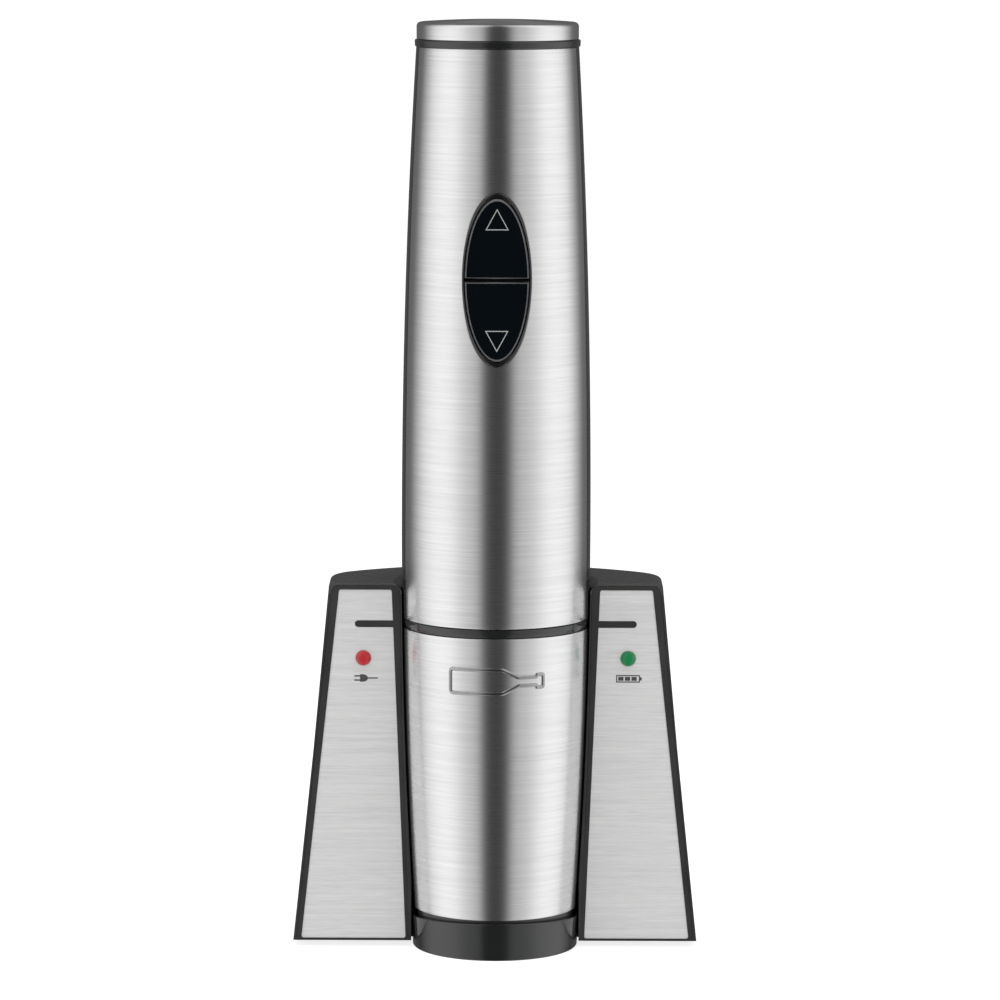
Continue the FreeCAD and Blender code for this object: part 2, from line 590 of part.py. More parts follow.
def neck(parts):
    parts["neck_front_skin"] = skin(NECK, FRONT)
    parts["neck_rear_skin"] = skin(NECK, REAR)
    half = 90 - STRIP_START
    side_strips = [band(*NECK, 0.0, STRIP_DEPTH, q - half, 2 * half) for q in (0, 180)]
    parts["neck_liner"] = joined([band(*NECK, LINER_OUT, LINER_IN)] + side_strips)
    bottle_end(parts)
    parts["cork_guide"] = cork_guide()


# ---- charging base ------------------------------------------------------------------------
def along(table, z):
    """Straight-line value between the (z, value) rows of a table."""
    for (z0, a), (z1, b) in zip(table, table[1:]):
        if z <= z1 or z1 == table[-1][0]:
            return a + (b - a) * (z - z0) / (z1 - z0)


def plan(z, inset, front):
    """The base's D-shaped outline at height z, moved in by inset, flat along y = front."""
    half = along(HALF_WIDTHS, z) - inset
    back = along(BACK_DEPTHS, z) - inset
    big, small = BACK_ARC - inset, BASE_CORNER - inset
    centre = V(0, back - big, z)
    drop = math.sqrt((big - small) ** 2 - (half - small) ** 2)
    corner = V(half - small, centre.y + drop, z)
    outward = (corner - centre).normalize()
    tangent = centre + outward * big
    between = (outward + V(1, 0, 0)).normalize()
    mid = corner + between * small
    shoulder = V(half, corner.y, z)

    def flip(p):
        return V(-p.x, p.y, p.z)

    low = V(half, front, z)
    edges = [line(flip(low), low), line(low, shoulder), arc(shoulder, mid, tangent),
             arc(tangent, V(0, back, z), flip(tangent)),
             arc(flip(tangent), flip(mid), flip(shoulder)), line(flip(shoulder), flip(low))]
    return Part.Wire(edges)


def base_loft(heights, inset, front):
    return Part.makeLoft([plan(z, inset, front) for z in heights], True, True)


def recess(extra):
    """The space the opener stands in, widened by extra."""
    low, high = GROUND - OVER, BASE_TOP + OVER
    edge = -(RECESS_GAP + extra)
    r_low = body_r(RECESS_LOW_Z) - edge
    top_r = body_r(high) - edge
    corners = [V(r_low, 0, RECESS_LOW_Z), V(r_low, 0, low), V(0, 0, low), V(0, 0, high),
               V(top_r, 0, high)]
    edges = side(RECESS_LOW_Z, high, edge)
    edges += [line(a, b) for a, b in zip(corners, corners[1:])]
    return revolve(face_of(edges))


def rounded_plate(corners, radii, y0, y1):
    """A plate in the XZ plane between y0 and y1, with a fillet radius at each corner."""
    count = len(corners)
    edges, joints = [], []
    for i, (x, z) in enumerate(corners):
        here = V(x, y0, z)
        before = (V(corners[i - 1][0], y0, corners[i - 1][1]) - here).normalize()
        after_x, after_z = corners[(i + 1) % count]
        after = (V(after_x, y0, after_z) - here).normalize()
        half = before.getAngle(after) / 2
        reach = radii[i] / math.tan(half)
        centre = here + (before + after).normalize() * (radii[i] / math.sin(half))
        middle = centre + (here - centre).normalize() * radii[i]
        joints.append((here + before * reach, middle, here + after * reach))
    for i, (a, b, c) in enumerate(joints):
        edges.append(arc(a, b, c))
        edges.append(line(c, joints[(i + 1) % count][0]))
    return face_of(edges).extrude(V(0, y1 - y0, 0))


def panel_plate(grow, corner, y0, y1):
    (low, high), (in_low, in_high), (out_low, out_high) = PANEL_Z, PANEL_IN, PANEL_OUT
    corners = [(in_low - grow, low - grow), (out_low + grow, low - grow),
               (out_high + grow, high + grow), (in_high - grow, high + grow)]
    return rounded_plate(corners, [corner] * len(corners), y0, y1)


def wing_plate(grow, y0, y1):
    """The wing's frame outline: its inner edge is a little outside the recess."""
    low, high = WING_Z[0] - grow, WING_Z[1] + grow
    (in_low, in_mid, in_high), mid_z = WING_IN
    corners = [(in_low - grow, low), (along(HALF_WIDTHS, low) - WING_RIM + grow, low),
               (along(HALF_WIDTHS, high) - WING_RIM + grow, high), (in_high - grow, high),
               (in_mid - grow, mid_z)]
    return rounded_plate(corners, WING_RADII, y0, y1)


def finger(grow, y0, y1):
    radius = SLOT_R + grow
    end = SLOT_END - SLOT_R
    bar = block(SLOT_START, end, y0, y1, SLOT_Z - radius, SLOT_Z + radius)
    return joined([bar, rod_y(radius, y0, y1, end, SLOT_Z)])


def wing(parts, name, flip, lens):
    back = POCKET_Y - FIT
    opening = panel_plate(FIT, PANEL_OPENING_CORNER, *WING_CUT)
    frame = wing_plate(-FIT, FRONT_Y, back).cut(opening)
    bezel = joined([frame, finger(0, FRONT_Y + SLOT_SUNK, back)])
    lamp_hole = rod_y(LED_R + LED_GAP, *WING_CUT, LED_X, LED_Z)
    panel = panel_plate(0, PANEL_CORNER, FRONT_Y + PANEL_SUNK, back)
    panel = panel.cut(finger(SLOT_GAP, *WING_CUT)).cut(lamp_hole)
    lens_body = rod_y(LED_R, FRONT_Y + LENS_SUNK, CAVITY_Y, LED_X, LED_Z)
    dome = Part.makeSphere(LED_R + LED_DOME, V(LED_X, FRONT_Y + LED_DOME_Y, LED_Z))
    keep = rod_y(LED_R, FRONT_Y - LED_R, FRONT_Y + LED_DOME_Y, LED_X, LED_Z)
    parts[name + "_bezel"] = flip(bezel)
    parts[name + "_panel"] = flip(panel)
    parts[lens] = flip(joined([lens_body, dome.common(keep)]))


def screw_spots():
    return [(side * x, y) for x, y in SCREW_SPOTS for side in (1, -1)]


def bosses():
    """Screw posts inside the shell, each with a rib to the nearest wall."""
    made = []
    for x, y in SCREW_SPOTS:
        near_front = y < BOSS_TOP / 2
        run = (CAVITY_Y - BOSS_RIB_BITE, y) if near_front else (BOSS_RIB_END, y)
        rib = block(x - BOSS_RIB_HALF, x + BOSS_RIB_HALF, *run, PLATE_ROOM, BOSS_TOP)
        made += both_sides(rod(BOSS_R, PLATE_ROOM, BOSS_TOP, x, y).fuse(rib))
    return made


def front_cut():
    return block(-BASE_BOX, BASE_BOX, CUT_Y - OVER, FRONT_Y, GROUND - OVER, BASE_TOP + OVER)


def behind_front(y0):
    """Everything behind y0, for the flat front of the round flange."""
    return block(-BASE_BOX, BASE_BOX, y0, BASE_BOX, GROUND - OVER, PLATE_ROOM + OVER)


def base_shell(parts, pockets):
    lamp_hole = rod_y(LED_R + LED_GAP, *WING_CUT, LED_X, LED_Z)
    outer = base_loft((BASE_LOW, BASE_MID, BASE_SPLIT), 0, CUT_Y).cut(front_cut())
    cavity = base_loft((BASE_LOW - OVER, BASE_MID, BASE_SPLIT - BASE_ROOF), BASE_WALL, CAVITY_Y)
    cavity = cavity.cut(recess(RECESS_WALL))
    shell = outer.cut(cavity).cut(recess(0)).cut(pockets).cut(group(both_sides(lamp_hole)))
    flange_room = rod(FLANGE_R + FIT, BASE_LOW - OVER, PLATE_ROOM)
    shell = shell.cut(flange_room.common(behind_front(CAVITY_Y - FIT)))
    holes = rods_at(screw_spots(), BOSS_HOLE_R, BASE_LOW, BOSS_HOLE_TOP)
    jack_hole = rod_y(JACK_HOLE_R, JACK_BODY[2], BASE_BOX, 0, JACK_Z)
    parts["base_shell"] = joined([shell] + bosses()).cut(group(holes)).cut(jack_hole)


def base_cover(parts, pockets):
    cover = base_loft((BASE_SPLIT + FIT, BASE_TOP), 0, CUT_Y)
    rim = [e for e in cover.Edges if e.BoundBox.ZMin > BASE_TOP - SLIVER]
    cover = cover.makeFillet(COVER_FILLET, rim).cut(front_cut())
    low = BASE_SPLIT - OVER
    flare_low = BASE_TOP - FLARE_DEPTH
    slope = (FLARE_TOP_R - FLARE_R) / FLARE_DEPTH
    top = BASE_TOP + OVER
    flare = turned([(0, low), (FLARE_R, low), (FLARE_R, flare_low), (FLARE_TOP_R, BASE_TOP),
                    (FLARE_TOP_R + slope * OVER, top), (0, top)])
    parts["base_top_cover"] = cover.cut(flare).cut(pockets)


def base_bottom(parts, foot_pockets):
    spots = screw_spots()
    low = GROUND - OVER
    plate = base_loft(PLATE, BASE_WALL + 3 * FIT, CAVITY_Y + FIT)
    plate = plate.cut(bore(FLANGE_R + 2 * FIT, *PLATE))
    holes = group(rods_at(spots, PLATE_HOLE_R, low, PLATE[1] + OVER))
    heads = group(rods_at(spots, HEAD_POCKET_R, low, HEAD_POCKET_TOP))
    parts["bottom_plate"] = plate.cut(holes).cut(heads).cut(foot_pockets)
    shanks = rods_at(spots, SCREW_R, SCREW_HEAD_Z[1] - FIT, SCREW_TOP)
    caps = rods_at(spots, SCREW_HEAD_R, *SCREW_HEAD_Z)
    parts["base_screws"] = group([joined(list(pair)) for pair in zip(shanks, caps)])
    parts["rubber_feet"] = group(rods_at(FOOT_SPOTS, FOOT_R, GROUND, FOOT_TOP))


def base_cup(parts, foot_pockets):
    bottom = GROUND + 2 * FIT
    chamfer, (bevel_r, bevel_z) = CUP_CHAMFER, CUP_RIM_BEVEL
    cup = turned([(0, bottom), (CUP_LOW_R - chamfer, bottom), (CUP_LOW_R, bottom + chamfer),
                  (CUP_R, CUP_RIM - chamfer), (CUP_R - chamfer, CUP_RIM),
                  (CUP_IN + bevel_r, CUP_RIM), (CUP_IN, CUP_RIM - bevel_z), (CUP_IN, SEAT_Z),
                  (0, SEAT_Z)])
    above = block(-BASE_BOX, BASE_BOX, 0, BASE_BOX, 0, CUP_R)
    above.rotate(V(), V(1, 0, 0), -CUP_SLOPE)
    above.translate(V(0, -CUP_R - SLIVER, CUP_RIM + FIT / 2))
    flange = rod(FLANGE_R, *PLATE).common(behind_front(CAVITY_Y + FIT))
    web = rod(CUP_R - CUP_CHAMFER, *PLATE).common(behind_front(CAVITY_Y + FIT))
    body = joined([cup.cut(above), flange, web])
    low = bottom - OVER
    well = joined([rod(WELL_R, WELL_STEP[0], SEAT_Z + OVER, *CONTACT_AT),
                   rod(WELL_BASE_R, low, WELL_STEP[1], *CONTACT_AT)])
    foot_boss = rod(CUP_FOOT_BOSS_R, low - OVER, CUP_HOLLOW_TOP + OVER, *FOOT_SPOTS[-1])
    hollow = rod(CUP_HOLLOW_R, low, CUP_HOLLOW_TOP).cut(foot_boss)
    parts["base_cup"] = body.cut(group(both_sides(well))).cut(foot_pockets).cut(hollow)


def contacts(parts):
    """Spring pins that charge the opener: the same set either side."""
    terminals = []
    for name, flip in (("left", mirrored), ("right", same)):
        tip = rod(PIN_TIP_R, WELL_STEP[0], SEAT_Z - FIT, *CONTACT_AT)
        shoulder = rod(PIN_SHOULDER_R, *PIN_SHOULDER, *CONTACT_AT)
        spring = rod(SPRING_R, *SPRING, *CONTACT_AT).cut(bore(SPRING_IN, *SPRING, *CONTACT_AT))
        parts["contact_pin_" + name] = flip(joined([tip, shoulder]))
        parts["contact_spring_" + name] = flip(spring)
        terminals.append(flip(rod(TERMINAL_R, *TERMINAL, *CONTACT_AT)))
    parts["contact_terminals"] = group(terminals)


def electronics(parts):
    boards = []
    for flip in (mirrored, same):
        chip = rod_y(LAMP_CHIP_R, CAVITY_Y + FIT, BOARD[2] + FIT, LED_X, LED_Z)
        boards.append(flip(joined([block(*BOARD), chip])))
    parts["indicator_boards"] = group(boards)
    wall_y = along(BACK_DEPTHS, JACK_Z)
    barrel = rod_y(JACK_R, JACK_BARREL_Y, wall_y - JACK_INSET, 0, JACK_Z)
    jack = joined([barrel, block(*JACK_BODY)])
    jack = jack.cut(rod_y(JACK_BORE, JACK_FLOOR_Y, BASE_BOX, 0, JACK_Z))
    pin = rod_y(JACK_PIN_R, JACK_PIN_Y, wall_y - JACK_PIN_INSET, 0, JACK_Z)
    parts["dc_jack"] = joined([jack, pin])


def charging_base(parts):
    pockets = group(both_sides(wing_plate(0, FRONT_Y - OVER, POCKET_Y)))
    foot_pockets = group(rods_at(FOOT_SPOTS, FOOT_R + FIT, GROUND - OVER, FOOT_TOP + FIT))
    base_shell(parts, pockets)
    base_cover(parts, pockets)
    base_bottom(parts, foot_pockets)
    base_cup(parts, foot_pockets)
    contacts(parts)
    wing(parts, "left", mirrored, "power_lens")
    wing(parts, "right", same, "charge_lens")
    electronics(parts)


def main():
    parts = {}
    upper_body(parts)
    buttons(parts)
    power_pack(parts)
    neck(parts)
    gear_train(parts)
    gearbox(parts)
    motor(parts)
    lift_screw(parts)
    charging_base(parts)
    os.makedirs("parts", exist_ok=True)
    for name, shape in parts.items():
        shape.translate(V(0, AXIS_Y, RISE))
        shape.exportStep("parts/" + name + ".step")
    return parts


if __name__ == "__main__":
    main()
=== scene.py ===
import json
import math

import bmesh
import bpy
from mathutils import Matrix, Vector


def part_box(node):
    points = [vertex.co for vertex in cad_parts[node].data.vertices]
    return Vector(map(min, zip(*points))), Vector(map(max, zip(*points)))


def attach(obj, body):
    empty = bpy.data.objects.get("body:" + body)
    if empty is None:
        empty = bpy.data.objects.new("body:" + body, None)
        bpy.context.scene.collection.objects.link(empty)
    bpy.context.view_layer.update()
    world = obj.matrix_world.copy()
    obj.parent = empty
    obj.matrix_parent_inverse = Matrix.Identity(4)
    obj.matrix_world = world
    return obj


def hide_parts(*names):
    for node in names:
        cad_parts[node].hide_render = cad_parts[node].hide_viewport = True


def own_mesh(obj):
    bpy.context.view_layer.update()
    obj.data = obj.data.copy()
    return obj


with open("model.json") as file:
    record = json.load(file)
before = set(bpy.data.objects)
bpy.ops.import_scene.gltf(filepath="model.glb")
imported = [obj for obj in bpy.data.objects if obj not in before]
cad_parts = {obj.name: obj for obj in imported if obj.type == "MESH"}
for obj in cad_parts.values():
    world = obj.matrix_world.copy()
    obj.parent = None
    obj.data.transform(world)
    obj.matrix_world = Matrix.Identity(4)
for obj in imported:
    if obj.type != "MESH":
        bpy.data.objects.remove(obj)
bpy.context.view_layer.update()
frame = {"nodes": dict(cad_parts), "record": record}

# Cordless wine opener in its charging base.  Metres, +Z up, front towards -Y.
# Heights in this script are measured from RISE above the table; a finished piece is moved up
# by that much when it is settled.
MM = 0.001
RISE = 1.0 * MM
NODES = frame["nodes"]
SCENE = bpy.context.scene


# ---- places taken from the frame ----
def low(node, axis):
    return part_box(node)[0][axis] - (RISE if axis == 2 else 0)


def high(node, axis):
    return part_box(node)[1][axis] - (RISE if axis == 2 else 0)


def centre_of(node, axis):
    return (low(node, axis) + high(node, axis)) / 2


# The barrel is two long arcs that meet at its belly.
AXIS_Y = centre_of("top_cap", 1)
BELLY_R = high("front_housing", 0)
BELLY_Z = 127 * MM
UPPER_ARC, LOWER_ARC = 2.5, 1.894

# Depths below the barrel's surface, and the degrees that each layer covers from front or rear.
SKIN = 0.6 * MM
LINER_OUT, LINER_IN = 0.7 * MM, 2.65 * MM
STRIP_DEPTH = 1.2 * MM
SKIN_HALF = 73.5
STRIP = (73.9, 89.9)
FRONT, RIGHT, REAR, LEFT = 0, 90, 180, 270
UPPER = (low("upper_front_skin", 2), high("upper_front_skin", 2))
NECK = (low("neck_front_skin", 2), high("neck_front_skin", 2))

# Ovals of the button group: half width, half height.
BUTTON_Z = centre_of("button_bezel", 2)
WINDOW = (10.2 * MM, 25.65 * MM)
BEZEL_HOLE = (9.8 * MM, 24.25 * MM)
BUTTON_OVAL = (9.55 * MM, 24.0 * MM)

BASE_TOP = high("base_top_cover", 2)
BASE_SPLIT = high("base_shell", 2)
BASE_LOW = low("base_shell", 2)
FRONT_Y = low("base_shell", 1) - AXIS_Y
LAMP_X = centre_of("charge_lens", 0)
LAMP_Z = centre_of("charge_lens", 2)
PANEL_Y = low("right_panel", 1)


def body_r(z):
    """Outer radius of the opener at height z."""
    arc = UPPER_ARC if z > BELLY_Z else LOWER_ARC
    return BELLY_R - arc + math.sqrt(arc * arc - (z - BELLY_Z) ** 2)


# ---- mesh helpers ----
WELD = 1e-7               # points closer than this are one point
SMOOTH_DEG = 32.0
NEARLY_STRAIGHT = 1.5     # half angle, in radians, above which a corner is left alone
EDGE_SHARE = 0.45         # most of an edge that a corner's rounding may take
FULL_TURN = 360
LATHE_COLUMNS = 240
BARREL_ROWS = 48


def make_object(name, verts, faces, smooth_deg=SMOOTH_DEG):
    mesh = bpy.data.meshes.new(name)
    mesh.from_pydata([tuple(v) for v in verts], [], faces)
    work = bmesh.new()
    work.from_mesh(mesh)
    bmesh.ops.remove_doubles(work, verts=work.verts, dist=WELD)
    bmesh.ops.recalc_face_normals(work, faces=work.faces)
    work.to_mesh(mesh)
    work.free()
    mesh.validate()
    mesh.polygons.foreach_set("use_smooth", [True] * len(mesh.polygons))
    mesh.set_sharp_from_angle(angle=math.radians(smooth_deg))
    piece = bpy.data.objects.new(name, mesh)
    SCENE.collection.objects.link(piece)
    return piece


def bevel(piece, width, segments, angle):
    mod = piece.modifiers.new("edges", "BEVEL")
    mod.width = width
    mod.segments = segments
    mod.limit_method = "ANGLE"
    mod.angle_limit = math.radians(angle)
    mod.harden_normals = False
    mod.use_clamp_overlap = True


def apply_modifiers(piece):
    """Freezes the piece's modifiers into its mesh."""
    graph = bpy.context.evaluated_depsgraph_get()
    graph.update()
    mesh = bpy.data.meshes.new_from_object(piece.evaluated_get(graph))
    piece.modifiers.clear()
    piece.data = mesh


def cut(piece, cutters):
    for cutter in cutters:
        mod = piece.modifiers.new("cut", "BOOLEAN")
        mod.object = cutter
        mod.operation = "DIFFERENCE"
        mod.solver = "EXACT"
    apply_modifiers(piece)


def discard(pieces):
    for piece in pieces:
        bpy.data.objects.remove(piece)


def around(radius, degrees, z):
    """A point at that angle about the opener's axis, 0 at the front and 90 at +X."""
    a = math.radians(degrees)
    return (radius * math.sin(a), AXIS_Y - radius * math.cos(a), z)


def steps(start, end, count):
    return [start + (end - start) * k / count for k in range(count + 1)]


def circle(centre, radius, count):
    """Points round a circle in a plane."""
    return [(centre[0] + radius * math.cos(a), centre[1] + radius * math.sin(a))
            for a in steps(0, 2 * math.pi, count)[:-1]]


def grid_faces(rows, cols, closed=False):
    """Faces between neighbouring rows of points; closed joins each row's ends."""
    faces = []
    for i in range(rows - 1):
        for j in range(cols if closed else cols - 1):
            k = (j + 1) % cols
            faces.append((i * cols + j, i * cols + k, (i + 1) * cols + k, (i + 1) * cols + j))
    return faces


def closing_faces(rows, cols):
    """Faces that join the last row of a closed grid to its first."""
    last = (rows - 1) * cols
    return [(last + j, last + (j + 1) % cols, (j + 1) % cols, j) for j in range(cols)]


def end_faces(rows, cols):
    """One face over the first row of a closed grid and one over the last."""
    last = (rows - 1) * cols
    return [tuple(range(cols)), tuple(last + j for j in range(cols))]


def corner_arc(here, before, after, radius, half, segments):
    """The arc that rounds a corner; before and after are its edges, half is half its angle."""
    reach = min(radius / math.tan(half), before.length * EDGE_SHARE, after.length * EDGE_SHARE)
    fitted = reach * math.tan(half)
    before, after = before.normalized(), after.normalized()
    centre = here + (before + after).normalized() * (fitted / math.sin(half))
    start = here + before * reach - centre
    side = 1 if before.x * after.y - before.y * after.x < 0 else -1
    points = []
    for a in steps(0, side * (math.pi - 2 * half), segments):
        spun = Vector((start.x * math.cos(a) - start.y * math.sin(a),
                       start.x * math.sin(a) + start.y * math.cos(a)))
        points.append(centre + spun)
    return points


def rounded(points, radius, segments=4):
    """A closed outline with each corner rounded; a point may carry its own radius."""
    out = []
    for i, point in enumerate(points):
        here = Vector(point[:2])
        before = Vector(points[i - 1][:2]) - here
        after = Vector(points[(i + 1) % len(points)][:2]) - here
        own = point[2] if len(point) > 2 else radius
        half = before.angle(after) / 2
        if own <= 0 or half > NEARLY_STRAIGHT:
            out.append(here)
        else:
            out += corner_arc(here, before, after, own, half, segments)
    return out


def divided(outline, longest):
    """The closed outline with its long edges divided."""
    out = []
    for p, q in zip(outline, outline[1:] + outline[:1]):
        count = max(1, int((q - p).length / longest))
        out += [p + (q - p) * k / count for k in range(count)]
    return out


def lathe(name, outline, start=0.0, end=FULL_TURN, count=LATHE_COLUMNS):
    """Turns a closed (radius, z) outline about the opener's axis, wholly or in part."""
    full = end - start >= FULL_TURN
    angles = steps(start, end, count)[:-1] if full else steps(start, end, count)
    verts = [around(p[0], a, p[1]) for a in angles for p in outline]
    rows, cols = len(angles), len(outline)
    faces = grid_faces(rows, cols, closed=True)
    faces += closing_faces(rows, cols) if full else end_faces(rows, cols)
    return make_object(name, verts, faces)


def barrel_outline(z_range, outer, inner):
    """Closed outline of a tube that follows the barrel, between two depths."""
    rise = steps(z_range[0], z_range[1], BARREL_ROWS)
    return ([(body_r(z) - outer, z) for z in rise]
            + [(body_r(z) - inner, z) for z in reversed(rise)])


def join(pieces, name):
    """Joins several meshes into one object."""
    verts, faces = [], []
    for piece in pieces:
        shift = len(verts)
        verts += [tuple(v.co) for v in piece.data.vertices]
        faces += [tuple(shift + i for i in p.vertices) for p in piece.data.polygons]
    discard(pieces)
    return make_object(name, verts, faces)


def plate(outline, y0, y1):
    """Points and faces of a flat solid from a closed (x, z) outline, between two y values."""
    size = len(outline)
    verts = [(p[0], y, p[1]) for y in (y0, y1) for p in outline]
    faces = [tuple(range(size)), tuple(range(2 * size - 1, size - 1, -1))]
    faces += [(j, (j + 1) % size, size + (j + 1) % size, size + j) for j in range(size)]
    return verts, faces


def extrude_xz(name, outline, y0, y1):
    """A flat solid between two depths behind the opener's axis."""
    return make_object(name, *plate(outline, AXIS_Y + y0, AXIS_Y + y1))


# ---- materials ----
NOISE_LOW, NOISE_HIGH = 0.3, 0.7      # the part of a noise's range that is used
COARSE_SCALE = 0.22                   # of the grain, for the broader streaks
FINE_SHARE, COARSE_SHARE = 0.6, 0.4
SPECK = 1.35                          # lighter flecks in plastic, against its colour
MOTTLE, CLOUD = (60, 60, 60), (500, 500, 500)
RELIEF_DEPTH, RELIEF_STRENGTH = 0.02 * MM, 0.25
GLOSS_RANGE = (0.9, 1.15)             # of a plastic's roughness
COAT_ROUGH = 0.06
LENS_ROUGH, LENS_CLEAR, LENS_IOR, LENS_GLOW, LENS_DARK = 0.12, 0.35, 1.5, 0.18, 0.55


def new_material(name, color, metallic, roughness, **sockets):
    mat = bpy.data.materials.new(name)
    mat.use_nodes = True
    shader = mat.node_tree.nodes["Principled BSDF"]
    shader.inputs["Base Color"].default_value = (*color, 1)
    shader.inputs["Metallic"].default_value = metallic
    shader.inputs["Roughness"].default_value = roughness
    for key, value in sockets.items():
        shader.inputs[key.replace("_", " ")].default_value = value
    return mat, shader, mat.node_tree.nodes, mat.node_tree.links


def noise(nodes, links, scale, detail=3.0, rough=0.55):
    """A noise texture over object coordinates stretched by scale; returns its factor."""
    coord = nodes.new("ShaderNodeTexCoord")
    mapping = nodes.new("ShaderNodeMapping")
    mapping.inputs["Scale"].default_value = scale
    texture = nodes.new("ShaderNodeTexNoise")
    texture.inputs["Scale"].default_value = 1.0
    texture.inputs["Detail"].default_value = detail
    texture.inputs["Roughness"].default_value = rough
    links.new(coord.outputs["Object"], mapping.inputs["Vector"])
    links.new(mapping.outputs["Vector"], texture.inputs["Vector"])
    return texture.outputs["Fac"]


def math_node(nodes, operation, *constants):
    """A maths node; each constant is (input number, value)."""
    node = nodes.new("ShaderNodeMath")
    node.operation = operation
    for i, value in constants:
        node.inputs[i].default_value = value
    return node


def ranged(nodes, links, source, low_out, high_out):
    node = nodes.new("ShaderNodeMapRange")
    node.inputs["From Min"].default_value = NOISE_LOW
    node.inputs["From Max"].default_value = NOISE_HIGH
    node.inputs["To Min"].default_value = low_out
    node.inputs["To Max"].default_value = high_out
    links.new(source, node.inputs["Value"])
    return node.outputs["Result"]


def tint(nodes, links, shader, source, dark, light):
    """Base colour between two tints, as the noise goes from low to high."""
    node = nodes.new("ShaderNodeMix")
    node.data_type = "RGBA"
    factor, first, second, result = 0, 6, 7, 2
    node.inputs[first].default_value = (*dark, 1)
    node.inputs[second].default_value = (*light, 1)
    links.new(ranged(nodes, links, source, 0, 1), node.inputs[factor])
    links.new(node.outputs[result], shader.inputs["Base Color"])


def bump(nodes, links, shader, source, strength, distance):
    node = nodes.new("ShaderNodeBump")
    node.inputs["Strength"].default_value = strength
    node.inputs["Distance"].default_value = distance
    links.new(source, node.inputs["Height"])
    links.new(node.outputs["Normal"], shader.inputs["Normal"])


def brush_tangent(nodes, links, shader, radial):
    """Brushing direction: round the opener's axis, or straight along X."""
    if radial:
        coord = nodes.new("ShaderNodeTexCoord")
        centre = nodes.new("ShaderNodeVectorMath")
        centre.operation = "SUBTRACT"
        centre.inputs[1].default_value = (0, AXIS_Y, 0)
        cross = nodes.new("ShaderNodeVectorMath")
        cross.operation = "CROSS_PRODUCT"
        cross.inputs[0].default_value = (0, 0, 1)
        links.new(coord.outputs["Object"], centre.inputs[0])
        links.new(centre.outputs[0], cross.inputs[1])
        source = cross.outputs[0]
    else:
        fixed = nodes.new("ShaderNodeCombineXYZ")
        fixed.inputs[0].default_value = 1
        source = fixed.outputs[0]
    links.new(source, shader.inputs["Tangent"])


def streaks(nodes, links, grain):
    """Fine and coarse brushing marks added together."""
    fine = noise(nodes, links, grain, detail=4.0, rough=0.7)
    coarse = noise(nodes, links, tuple(g * COARSE_SCALE for g in grain), rough=0.6)
    mix = math_node(nodes, "MULTIPLY_ADD", (1, FINE_SHARE))
    scaled = math_node(nodes, "MULTIPLY", (1, COARSE_SHARE))
    links.new(fine, mix.inputs[0])
    links.new(coarse, scaled.inputs[0])
    links.new(scaled.outputs[0], mix.inputs[2])
    return mix.outputs[0]


def brushed(name, dark, light, rough, grain, radial=False, anisotropic=0.0, turn=0.0,
            relief=1.0, metallic=1.0):
    """Brushed or cast metal: streaks in its colour, gloss and relief."""
    mat, shader, nodes, links = new_material(name, light, metallic, rough[0],
                                             Anisotropic=anisotropic,
                                             Anisotropic_Rotation=turn)
    marks = streaks(nodes, links, grain)
    tint(nodes, links, shader, marks, dark, light)
    links.new(ranged(nodes, links, marks, rough[1], rough[0]), shader.inputs["Roughness"])
    bump(nodes, links, shader, marks, RELIEF_STRENGTH * relief, RELIEF_DEPTH)
    brush_tangent(nodes, links, shader, radial)
    return mat


def moulded(name, color, rough, grain=2200.0, strength=0.12, coat=0.0, shine=0.5):
    """Moulded plastic or rubber: slight mottling, uneven gloss and a fine skin texture."""
    mat, shader, nodes, links = new_material(name, color, 0.0, rough, Coat_Weight=coat,
                                             Coat_Roughness=COAT_ROUGH, Specular_IOR_Level=shine)
    mottle = noise(nodes, links, MOTTLE)
    skin = noise(nodes, links, (grain, grain, grain), detail=2.0)
    tint(nodes, links, shader, mottle, color, tuple(min(1.0, c * SPECK) for c in color))
    links.new(ranged(nodes, links, mottle, rough * GLOSS_RANGE[0], rough * GLOSS_RANGE[1]),
              shader.inputs["Roughness"])
    bump(nodes, links, shader, skin, strength, RELIEF_DEPTH)
    return mat


def lens_material(name, color, glow):
    """Tinted, slightly cloudy plastic with a faint light in it."""
    mat, shader, nodes, links = new_material(name, color, 0.0, LENS_ROUGH,
                                             Transmission_Weight=LENS_CLEAR, IOR=LENS_IOR,
                                             Emission_Color=(*glow, 1),
                                             Emission_Strength=LENS_GLOW)
    cloud = noise(nodes, links, CLOUD)
    tint(nodes, links, shader, cloud, tuple(c * LENS_DARK for c in color), color)
    bump(nodes, links, shader, cloud, 0.2, 0.05 * MM)
    return mat


BARREL_GRAIN, GEAR_GRAIN, PANEL_GRAIN = (62, 62, 6200), (60, 60, 2600), (150, 150, 5600)
ZINC_GRAIN, FINE_GRAIN = (300, 300, 300), (400, 400, 400)
QUARTER = 0.25            # turn that sets the sheen across the brushing

